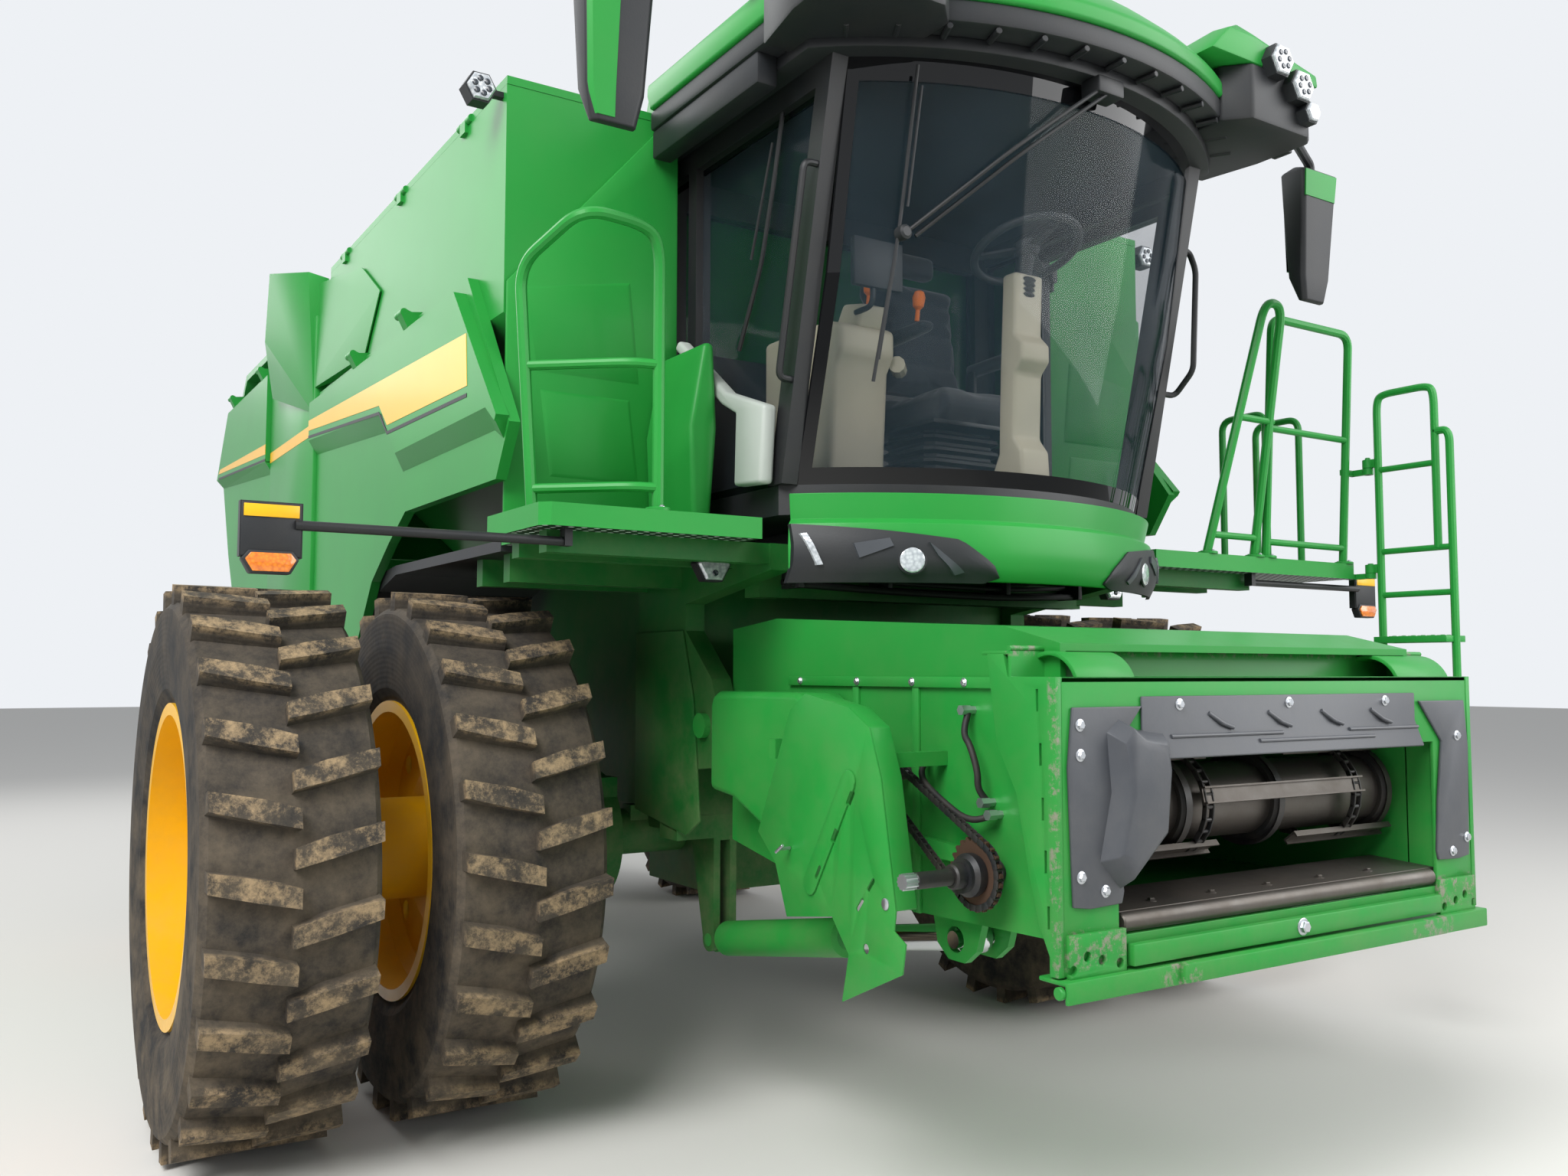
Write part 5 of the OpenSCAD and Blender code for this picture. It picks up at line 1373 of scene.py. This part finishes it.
    def frame(self) -> None:
        """Makes the side gussets, the front plate round the mouth, the hook plate and the hooks."""
        parts = []
        for low, high in ((-self.half, 20 - self.half), (self.half - 20, self.half)):
            wall = self.side(self.gusset, low, high)
            cutters = [self.side([(x - 4, z - 28), (x + 4, z - 28), (x + 4, z + 28), (x - 4, z + 28)], low - 5,
                                 high + 5) for x, z in self.slots]
            parts.append(Bench.cut(wall, *cutters))
        inner = self.half - 1
        front = self.cross([(-897, 905), (897, 905), (897, 1633), (-897, 1633)], 2696, 2709)
        parts.append(Bench.cut(front, self.cross([(-705, 985), (705, 985), (705, 1430), (-705, 1430)], 2690, 2720)))
        parts.append(self.side(self.hook_plate, -inner, inner))
        hook = arc((2590, 1590), 110, 19, 114) + arc((2590, 1590), 98, 114, 19)
        parts += [self.side(hook, low, high) for low, high in ((-824, -614), (555, 832))]
        parts = [Bench.soft_edges(part, 2.5) for part in parts]
        walls = [self.side([(2606, 935), (2698, 935), (2698, 1618), (2606, 1618)], low - self.shift, high - self.shift)
                 for low, high in ((-770, -750), (750, 770))]
        roof = self.side(self.roof, -770 - self.shift, 770 - self.shift)
        Bench.done([*parts, *walls, roof, self.rod(2546, 1706, -self.half, self.half, 8)], "header_frame",
                   FACE_ENAMEL, self.body, "feeder_face")

    def beams(self) -> None:
        """Makes the lower beams, the latch plates and the bolts."""
        inner = self.half - 1
        parts = [self.side(self.beam, -inner, 926),
                 self.side([(2739, 905), (2757, 900), (2757, 850), (2739, 850)], -518, 670),
                 self.cross([(-680, 909), (680, 909), (680, 964), (-680, 964)], 2709, 2734)]
        parts = [Bench.soft_edges(part, 4) for part in parts]
        for side in (-1, 1):
            latch = self.cross([(side * y, z) for y, z in ((695, 900), (890, 900), (890, 1005), (695, 1005))], 2709,
                               2722)
            cutters = [Bench.turned([(0, 13), (60, 13)], mm(2690 + self.back, side * y + self.shift, z), FORWARD, 18)
                       for y, z in self.latch_holes]
            parts.append(Bench.soft_edges(Bench.cut(latch, *cutters), 2))
        parts.append(self.rod(2718, 872, -self.half - 12, 2 - self.half, 16))
        Bench.done(parts, "header_beams", FACE_ENAMEL, self.body)
        heads = Bench.bolts([(x + self.back, y, z) for x, y, z in self.bolt_spots], FORWARD, 11)
        big = Bench.bolts([(2734 + self.back, 27, 938)], FORWARD, 17)
        Bench.done([heads, big], "header_bolts", ZINC, self.body)

    def deflectors(self) -> None:
        """Makes the plastic deflectors, the right one's bulge and the ribbed upper seal."""
        parts = [Bench.soft_edges(self.cross([(side * y, z) for y, z in self.wing], 2710.3, 2719.3), 3, 3)
                 for side in (-1, 1)]
        middle = Vector((650, 1330))
        rings = []
        for x, share, tuck in self.bulge_rows:
            ring = [Vector(a).lerp(Vector(b), share).lerp(middle, tuck)
                    for a, b in zip(self.bulge_foot, self.bulge_crest)]
            rings.append([mm(x + self.back, -p[0] + self.shift, p[1]) for p in ring])
        parts.append(Bench.soft_edges(Bench.swept(rings), 9, 3))
        parts.append(Bench.soft_edges(self.side(self.seal, -619, 600), 3))
        for low, high, z in ((-520, -60, 1478), (-170, 360, 1458), (250, 598, 1480)):
            parts.append(self.rod(2717 + (1500 - z) * 0.368, z, low, high, 6, 10))
        for y in (-330, -80, 160, 400):
            x = 2716 + self.back
            parts.append(Bench.pipe([mm(x, y, 1536), mm(x + 5, y + 52, 1508), mm(x + 9, y + 90, 1496)], 6))
        Bench.done(parts, "mouth_deflectors", GREY_POLY, self.body)

    def floor(self) -> None:
        """Makes the steel floor with its rounded lip and bolts."""
        sheet = self.side(self.floor_sheet, -749 - self.shift, 749 - self.shift)
        Bench.done([Bench.soft_edges(sheet, 2), self.rod(2690, 1013, -690, 690, 25, 32)], "feeder_floor",
                   WORN_STEEL, self.body)
        spots = [(2640 + self.back, y, 1042) for y in (-480, -240, 0, 240, 480)]
        Bench.done(Bench.bolts(spots, UP, 10), "floor_bolts", WORN_STEEL, self.body)

    def conveyor(self) -> None:
        """Makes the drum with its rings, the chains and the slats."""
        x, z = self.drum[0] + self.back, self.drum[1]
        x1, z1 = self.rear_shaft
        drum = [Bench.bar((x, -749, z), (x, 749, z), 35), Bench.bar((x, -700, z), (x, 700, z), 110, 48),
                Bench.bar((x1, -749, z1), (x1, 749, z1), 35)]
        rings = [Bench.bar((x, y - 9, z), (x, y + 9, z), 145, 48) for y in self.ring_ys]
        Bench.done(drum, "front_drum", WORN_STEEL, self.body, "feeder_conveyor")
        front, run = Vector((x, z)), Vector((x1 - x, z1 - z))
        lean = math.atan2(run[1], run[0])
        off = Vector((-math.sin(lean), math.cos(lean))) * self.chain_r
        places = []
        for y in self.chain_ys:
            for i in range(13):
                a = lean + math.pi / 2 + math.pi * (i + 0.5) / 13
                places.append(Matrix.Translation(mm(x + self.chain_r * math.cos(a), y, z + self.chain_r * math.sin(a)))
                              @ Matrix.Rotation(-(a - math.pi / 2), 4, "Y"))
            for i in range(26):
                for up in (1, -1):
                    spot = front + run * (i + 0.5) / 26 + off * up
                    places.append(Matrix.Translation(mm(spot[0], y, spot[1])) @ Matrix.Rotation(-lean, 4, "Y"))
        chains = Bench.copies(self.link(22, 8, 3, 15, 19, 15), places)
        Bench.done([*rings, chains], "feeder_chains", BLACK_STEEL, self.body)
        slats = [self.slat(low, high, front, math.radians(degrees)) for low, high, degrees in self.drum_slats]
        for k in range(1, 7):
            middle = front + run * k * 200 / run.length
            low, high = (-215, 520) if k % 2 else (-600, 724)
            slats += [self.slat(low, high, middle, lean + up * math.pi / 2) for up in (1, -1)]
        Bench.done(slats, "feeder_slats", WORN_STEEL, self.body)

    @staticmethod
    def link(half: float, tall: float, thin: float, gap: float, pin_x: float, pin_half: float) -> Piece:
        """Makes a chain link at the origin.

        Args:
            half: Half the length of its side plates.
            tall: Half their height.
            thin: Half their thickness.
            gap: Distance of each plate from the middle.
            pin_x: Place of the pin along the link.
            pin_half: Half the pin's length.

        Returns:
            The link.
        """
        plates = [Bench.swept([[Vector((u, w + v, z)) / 1000 for u, z in ((-half, -tall), (half, -tall), (half, tall),
                                                                          (-half, tall))] for v in (-thin, thin)])
                  for w in (-gap, gap)]
        pin = Bench.turned([(-pin_half, 6), (pin_half, 6)], Vector((pin_x / 1000, 0, 0)), LEFT, 8)
        return Bench.joined([*(Bench.soft_edges(plate, 2) for plate in plates), pin])

    @staticmethod
    def slat(low: float, high: float, middle: Vector, angle: float) -> Piece:
        """Makes a U-shaped slat across the chains, at an angle round a middle."""
        out, along = Vector((math.cos(angle), math.sin(angle))), Vector((-math.sin(angle), math.cos(angle)))
        profile = [(146, -24), (164, -24), (164, -19), (152, -19), (152, 19), (164, 19), (164, 24), (146, 24)]
        ring = [middle + out * r + along * s for r, s in profile]
        return Bench.swept([[mm(p[0], y, p[1]) for p in ring] for y in (low, high)])

    def drives(self) -> None:
        """Makes the toothed wheels, the drive chain and the shaft for the header."""
        (x, z), (x1, z1) = self.drive, self.upper
        shaft = [Bench.bar((x, -770, z), (x, -940, z), 34), Bench.bar((x, -939, z), (x, -1062, z), 22, 32),
                 Bench.turned([(0, 52), (14, 58), (34, 58), (44, 46), (55, 46)], mm(x, -850, z), RIGHT, 28),
                 Bench.bar((x1, -770, z1), (x1, -880, z1), 25)]
        Bench.done(shaft, "header_drive_shaft", BLACK_STEEL, self.body, "feeder_drive")
        splines = [(x + r * math.cos(a), z + r * math.sin(a)) for r, a in
                   ((22 if i % 4 < 2 else 19, math.pi * i / 24) for i in range(48))]
        Bench.done(Bench.plate(Plane.SIDE, splines, -1061, -1100), "shaft_splines", ZINC, self.body)
        wheels = [self.sprocket(x, z, 24, 100), self.sprocket(x1, z1, 14, 60)]
        Bench.done(wheels, "drive_sprockets", RUSTED_STEEL, self.body)
        start, end = Vector((x, z)), Vector((x1, z1))
        run = end - start
        turn, lean = math.atan2(run[1], run[0]), math.acos((88 - 49) / run.length)
        path = []
        for middle, radius, a0, a1, steps in ((start, 88, turn + lean, turn - lean + 2 * math.pi, 20),
                                              (end, 49, turn - lean, turn + lean, 8)):
            turns = [a0 + (a1 - a0) * i / steps for i in range(steps + 1)]
            path += [middle + radius * Vector((math.cos(a), math.sin(a))) for a in turns]
        path.append(path[0])
        link = self.link(11.5, 9, 1.5, 9, 11.5, 10)
        places, left_over = [], 0.0
        for a, b in zip(path, path[1:]):
            length = (b - a).length
            while left_over < length:
                spot = a + (b - a) * left_over / length
                angle = math.atan2(b[1] - a[1], b[0] - a[0])
                places.append(Matrix.Translation(mm(spot[0], -850, spot[1])) @ Matrix.Rotation(-angle, 4, "Y"))
                left_over += 25.4
            left_over -= length
        Bench.done(Bench.copies(link, places), "drive_chain", BLACK_STEEL, self.body)

    @staticmethod
    def sprocket(x: float, z: float, teeth: int, radius: float) -> Piece:
        """Makes a toothed wheel on the right side."""
        outline = []
        for i in range(4 * teeth):
            r = radius if i % 4 < 2 else radius - 12
            a = math.radians((i + 0.5) * 90 / teeth)
            outline.append((x + r * math.cos(a), z + r * math.sin(a)))
        return Bench.plate(Plane.SIDE, outline, -844, -856)

    def guard(self) -> None:
        """Makes the drive guard, the gearcase hood and what carries them."""
        sheet = Bench.plate(Plane.SIDE, self.guard_sheet, -1044, -1050)
        ridge = Bench.plate(Plane.SIDE, self.slot_outline(1923, 1186, 58, 430, 64), -1049, -1057, soft=3)
        for piece, vents in ((sheet, self.ridge_vents + self.sheet_vents), (ridge, self.ridge_vents)):
            Bench.cut(piece, *(Bench.plate(Plane.SIDE, self.slot_outline(*vent, 48, 13), -1030, -1070)
                               for vent in vents))
        Bench.cut(sheet, Bench.turned([(0, 14), (40, 14)], mm(2094, -1030, 893), RIGHT, 20))
        parts = [Bench.soft_edges(sheet, 1.5), ridge, Bench.plate(Plane.SIDE, self.guard_rim, -975, -1045, soft=5),
                 Bench.plate(Plane.SIDE, self.gearcase, -771, -950, soft=22, segments=3),
                 Bench.box((1590, -1045, 1380), (1625, -949, 1440)),
                 Bench.box((1750, -1045, 1440), (1790, -771, 1475)), Bench.box((2080, -1045, 1380), (2110, -771, 1420)),
                 Bench.plate(Plane.SIDE, self.gearcase_rest, -771, -800)]
        Bench.done(parts, "drive_guard", GREEN_ENAMEL, self.body, "feeder_guard")
        latch = [Bench.bar((1719, -1052, 1122), (1719, -1092, 1122), 5, 10),
                 Bench.bar((1700, -1090, 1110), (1738, -1090, 1134), 5, 10),
                 Bench.turned([(0, 16), (3, 16), (5, 12)], mm(2185, -1050, 1027), RIGHT, 18)]
        Bench.done(latch, "guard_latch", ZINC, self.body)
        rail = [Bench.soft_edges(Bench.both(Bench.box((1292, 769, 1600), (2316, 784, 1632))), 3)]
        rail += [Bench.soft_edges(Bench.both(Bench.box((x, 769, 945), (x + 30, 780, 1601))), 2) for x in (1660, 1960)]
        Bench.done(rail, "feeder_side_rails", GREEN_ENAMEL, self.body)
        spots = [(x, 784, 1616) for x in (1369, 1690, 1966, 2200)]
        Bench.done(Bench.both(Bench.bolts(spots, LEFT, 9)), "side_rail_bolts", ZINC, self.body)

    @staticmethod
    def slot_outline(x: float, z: float, turn: float, length: float, width: float) -> list[Flat]:
        """Gives the outline of a round-ended slot."""
        along = Vector((math.cos(math.radians(turn)), math.sin(math.radians(turn)))) * (length - width) / 2
        ends = []
        for sign in (1, -1):
            start = turn - 90 if sign > 0 else turn + 90
            ends += arc((x + sign * along[0], z + sign * along[1]), width / 2, start, start + 180, 6)
        return ends

    def hoses(self) -> None:
        """Makes the hydraulic hoses on the house's right side, with their fittings."""
        for name, corners in (("upper_hose", self.upper_hose), ("lower_hose", self.lower_hose)):
            path = Bench.route(corners, 60, 6)
            hose = Bench.done(Bench.pipe(path, self.hose_r, as_mesh=False), name, HOSE_RUBBER, self.body)
        ends = [Bench.turned([(-30, 15), (0, 15), (2, 12), (24, 12)], mm(*spot), LEFT, 6)
                for spot in (self.upper_hose[0], self.upper_hose[-1], self.lower_hose[0], self.lower_hose[-1])]
        Bench.done(ends, "hose_fittings", ZINC, self.body)


@dataclass
class Undercab:
    """Inner shields and the clipped pipes below the cab floor."""

    shield: Outline = ((300, 1101), (730, 1041), (830, 1100), (775, 1545), (690, 1800), (300, 1800))
    shield_y: float = 861.0
    shield_t: float = 10.0
    pipes: Route = ((1120, 1965, 11), (1150, 1990, 9), (1180, 1955, 13))
    clip_ys: tuple[float, ...] = (-690, -300, 280, 670)

    def build(self) -> None:
        """Makes the shields, the pipes from their start and radius, and the clips."""
        wall = Bench.plate(Plane.SIDE, self.shield, self.shield_y, self.shield_y + self.shield_t)
        # The inner shields take the darker frame green, which is painted shade
        Bench.done(Bench.both(Bench.soft_edges(wall, 3)), "inner_shields", SHADED_FRAME_ENAMEL)
        pipes = [Bench.tube([(x, -700, z), (x + 60, -300, z - 18), (x + 40, 300, z - 22), (x, 700, z)], 160,
                            radius) for x, z, radius in self.pipes]
        Bench.done(pipes, "floor_pipes", HOSE_RUBBER)
        clips = [Bench.box((1100, y, 1940), (1220, y + 22, 2008), soft=3) for y in self.clip_ys]
        Bench.done(clips, "pipe_clips", BLACK_STEEL)


@dataclass
class Wheels:
    """Bolts, hub caps and valves of the wheels."""

    front_z: float = 975.0
    front_plates: Flat = (2126.0, 1574.0)
    front_ring: float = 200.0
    rear: Flat = (-3550.0, 795.0)
    rear_plate: float = 1550.0
    rear_ring: float = 120.0
    count: int = 10
    front_cap: Outline = ((0, 120), (20, 118), (46, 92), (52, 60), (54, 4))
    rear_cap: Outline = ((0, 70), (26, 66), (44, 44), (48, 4))

    def build(self) -> None:
        """Makes the hardware of the four wheel bodies."""
        angles = [2 * math.pi * i / self.count for i in range(self.count)]
        x, z = self.rear
        for side, name, out in ((1, "left", LEFT), (-1, "right", RIGHT)):
            body = f"front_wheels_{name}"
            spots = [(self.front_ring * math.cos(a), side * y, self.front_z + self.front_ring * math.sin(a))
                     for y in self.front_plates for a in angles]
            Bench.done(Bench.bolts(spots, out, 17), f"front_bolts_{name}", ZINC, body)
            cap = Bench.turned(self.front_cap, mm(0, side * self.front_plates[0], self.front_z), out, 40)
            Bench.done(cap, f"hub_cap_{name}", YELLOW_ENAMEL, body)
            valve = Bench.tube([(330, side * 1600, 805), (352, side * 1660, 790), (360, side * 1688, 770)],
                               20, 9)
            Bench.done(valve, f"valve_{name}", HOSE_RUBBER, body)
            body = f"rear_wheel_{name}"
            spots = [(x + self.rear_ring * math.cos(a), side * self.rear_plate, z + self.rear_ring * math.sin(a))
                     for a in angles]
            Bench.done(Bench.bolts(spots, out, 13), f"rear_bolts_{name}", ZINC, body)
            cap = Bench.turned(self.rear_cap, mm(x, side * self.rear_plate, z), out, 32)
            Bench.done(cap, f"rear_hub_cap_{name}", YELLOW_ENAMEL, body)


@dataclass
class Rear:
    """Exhaust, pre-cleaner, rear louvres, tail lamps, the chopper's vanes and the tank covers' ribs."""

    stack: Outline = ((0, 75), (210, 75), (214, 68), (250, 68), (250, 60), (180, 58))
    stack_foot: Point = (-2900, -1050, 3620)
    dome: Outline = ((0, 150), (60, 150), (70, 172), (100, 172), (128, 150), (142, 90), (146, 4))
    dome_foot: Point = (-3300, 1000, 3625)
    louvres: int = 9
    lamp: Outline = ((-4676, 2860), (-4716, 2852), (-4660, 2640), (-4620, 2632))
    red: Outline = ((-4714, 2840), (-4724, 2838), (-4694, 2726), (-4684, 2728))
    amber: Outline = ((-4682, 2714), (-4692, 2712), (-4670, 2652), (-4660, 2654))
    vane: Outline = ((-5160, 1722), (-5700, 1466), (-5700, 1400), (-5200, 1610))
    vane_half_t: float = 3.0
    rib_xs: tuple[float, ...] = (-1500, -1000, -500, 0)

    def build(self) -> None:
        """Makes each piece."""
        Bench.done(Bench.turned(self.stack, mm(*self.stack_foot), UP, 32), "exhaust_stack", BLACK_STEEL)
        Bench.done(Bench.turned(self.dome, mm(*self.dome_foot), UP, 40), "pre_cleaner", BLACK_MOULDING)
        slats = []
        for i in range(self.louvres):
            share = (i + 0.5) / self.louvres
            x, z = -4560 - 140 * share, 3300 - 340 * share
            slats.append(Bench.plate(Plane.SIDE, [(x + 4, z + 17), (x - 14, z - 4), (x - 14, z - 8),
                                                  (x + 2, z + 5)], -760, 760, soft=1.5))
        Bench.done(slats, "rear_louvres", BLACK_MOULDING)
        for outline, inset, width, name, finish in ((self.lamp, 0, 6, "tail_lamp_housings", BLACK_MOULDING),
                                                    (self.red, 12, 3, "tail_lamps", RED_LENS),
                                                    (self.amber, 12, 3, "rear_turn_lamps", AMBER_LENS)):
            lamp = Bench.plate(Plane.SIDE, outline, 1290 + inset, 1440 - inset, soft=width)
            Bench.done(Bench.both(lamp), name, finish)
        vanes = [Bench.swept([[mm(x, y + (x + 5150) * y / 2200 + w, z) for x, z in self.vane]
                              for w in (-self.vane_half_t, self.vane_half_t)]) for y in range(-660, 661, 165)]
        Bench.done(vanes, "chopper_vanes", BLACK_STEEL)
        for side, name in SIDES:
            ribs = [Bench.box((x, side * 40, 3750), (x + 40, side * 1540, 3762), soft=4) for x in self.rib_xs]
            Bench.done(ribs, f"cover_ribs_{name}", GREEN_ENAMEL, f"cover_{name}")


@dataclass
class Viewpoint:
    """The photograph's viewpoint, in metres and degrees."""

    place: Point = (6.447, -3.145, 1.644)
    heading: float = 147.324
    pitch: float = 3.7705
    roll: float = 0.070
    lens_mm: float = 29.34

    def build(self) -> None:
        """Adds the camera and makes it the scene's own."""
        data = bpy.data.cameras.new("viewpoint")
        data.lens = self.lens_mm
        data.sensor_width = 36.0
        data.clip_end = 200.0
        camera = bpy.data.objects.new("viewpoint", data)
        bpy.context.scene.collection.objects.link(camera)
        heading, pitch = math.radians(self.heading), math.radians(self.pitch)
        look = Vector((math.cos(pitch) * math.cos(heading), math.cos(pitch) * math.sin(heading), math.sin(pitch)))
        turn = look.to_track_quat("-Z", "Y").to_matrix().to_4x4() @ Matrix.Rotation(math.radians(self.roll), 4, "Z")
        camera.matrix_world = Matrix.Translation(self.place) @ turn
        bpy.context.scene.camera = camera


@dataclass
class Studio:
    """Pale floor, soft lamps and an even pale world."""

    floor_size: float = 120.0
    floor_colour: str = "#d9d7d2"
    key_watts: float = 2000.0
    fill_watts: float = 800.0

    def build(self) -> None:
        """Lays the floor and hangs the lamps."""
        bpy.context.scene.view_settings.view_transform = "Standard"
        bpy.ops.mesh.primitive_plane_add(size=self.floor_size, location=(0, 0, 0))
        floor = bpy.context.object
        floor.name = "studio_floor"
        material = bpy.data.materials.new("studio_floor")
        material.use_nodes = True
        shader = material.node_tree.nodes["Principled BSDF"]
        shader.inputs["Base Color"].default_value = linear(self.floor_colour)
        shader.inputs["Roughness"].default_value = 0.9
        floor.data.materials.append(material)
        self.lamp("key", (7.5, -9.0, 10.0), 7.0, self.key_watts)
        self.lamp("fill", (9.0, 6.0, 6.0), 8.0, self.fill_watts)
        self.lamp("rear", (-10.0, -4.0, 9.0), 8.0, self.fill_watts * 0.6)
        self.world()

    def lamp(self, name: str, place: Point, size: float, watts: float) -> None:
        """Hangs one square lamp that points at the machine's middle.

        Args:
            name: Name of the lamp.
            place: Where it hangs.
            size: Side of the lamp.
            watts: Its power.
        """
        light = bpy.data.lights.new(name, "AREA")
        light.size = size
        light.energy = watts
        holder = bpy.data.objects.new(name, light)
        bpy.context.scene.collection.objects.link(holder)
        holder.location = place
        holder.rotation_euler = (Vector((0.5, 0, 1.8)) - Vector(place)).to_track_quat("-Z", "Y").to_euler()

    def world(self) -> None:
        """Sets an even pale world that shows white to the camera, in gloss and through glass."""
        world = bpy.data.worlds.new("studio")
        bpy.context.scene.world = world
        world.use_nodes = True
        tree = world.node_tree
        tree.nodes.clear()
        mix, rays = Mixer(tree), add_node(tree, "ShaderNodeLightPath").outputs
        seen = mix.number("MAXIMUM", rays["Is Camera Ray"], rays["Is Glossy Ray"])
        seen = mix.number("MAXIMUM", seen, rays["Is Transmission Ray"])
        plain = add_node(tree, "ShaderNodeBackground", {0: linear("#e8ecf2"), 1: 0.5})
        white = add_node(tree, "ShaderNodeBackground", {0: linear("#eef1f5"), 1: 1.0})
        mixed = add_node(tree, "ShaderNodeMixShader", {0: seen, 1: plain.outputs[0], 2: white.outputs[0]})
        add_node(tree, "ShaderNodeOutputWorld", {0: mixed.outputs[0]})


def dress_nodes(frame: dict) -> None:
    """Gives every carried-over part its finish.

    Args:
        frame: The loaded frame.
    """
    for name, part in frame["nodes"].items():
        finish = NODE_FINISH[name]
        for slot in part.material_slots:
            slot.material = finish.material()
        LOG.info("dressed %s with %s", name, finish.name)


def main() -> None:
    """Builds the scene in order and reports each piece."""
    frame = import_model()
    bpy.ops.object.select_all(action="DESELECT")
    Viewpoint().build()
    Studio().build()
    dress_nodes(frame)
    for assembly in (FeederFront(), SideTrim(), AirScoops(), CabSkirt(), Roof(), Mirrors(), CabOutside(), CabInside(),
                     Rails(), Markers(), Undercab(), Wheels(), Rear()):
        LOG.info("building %s", type(assembly).__name__)
        assembly.build()


if __name__ == "__main__":
    logging.basicConfig(level=logging.INFO)
    main()
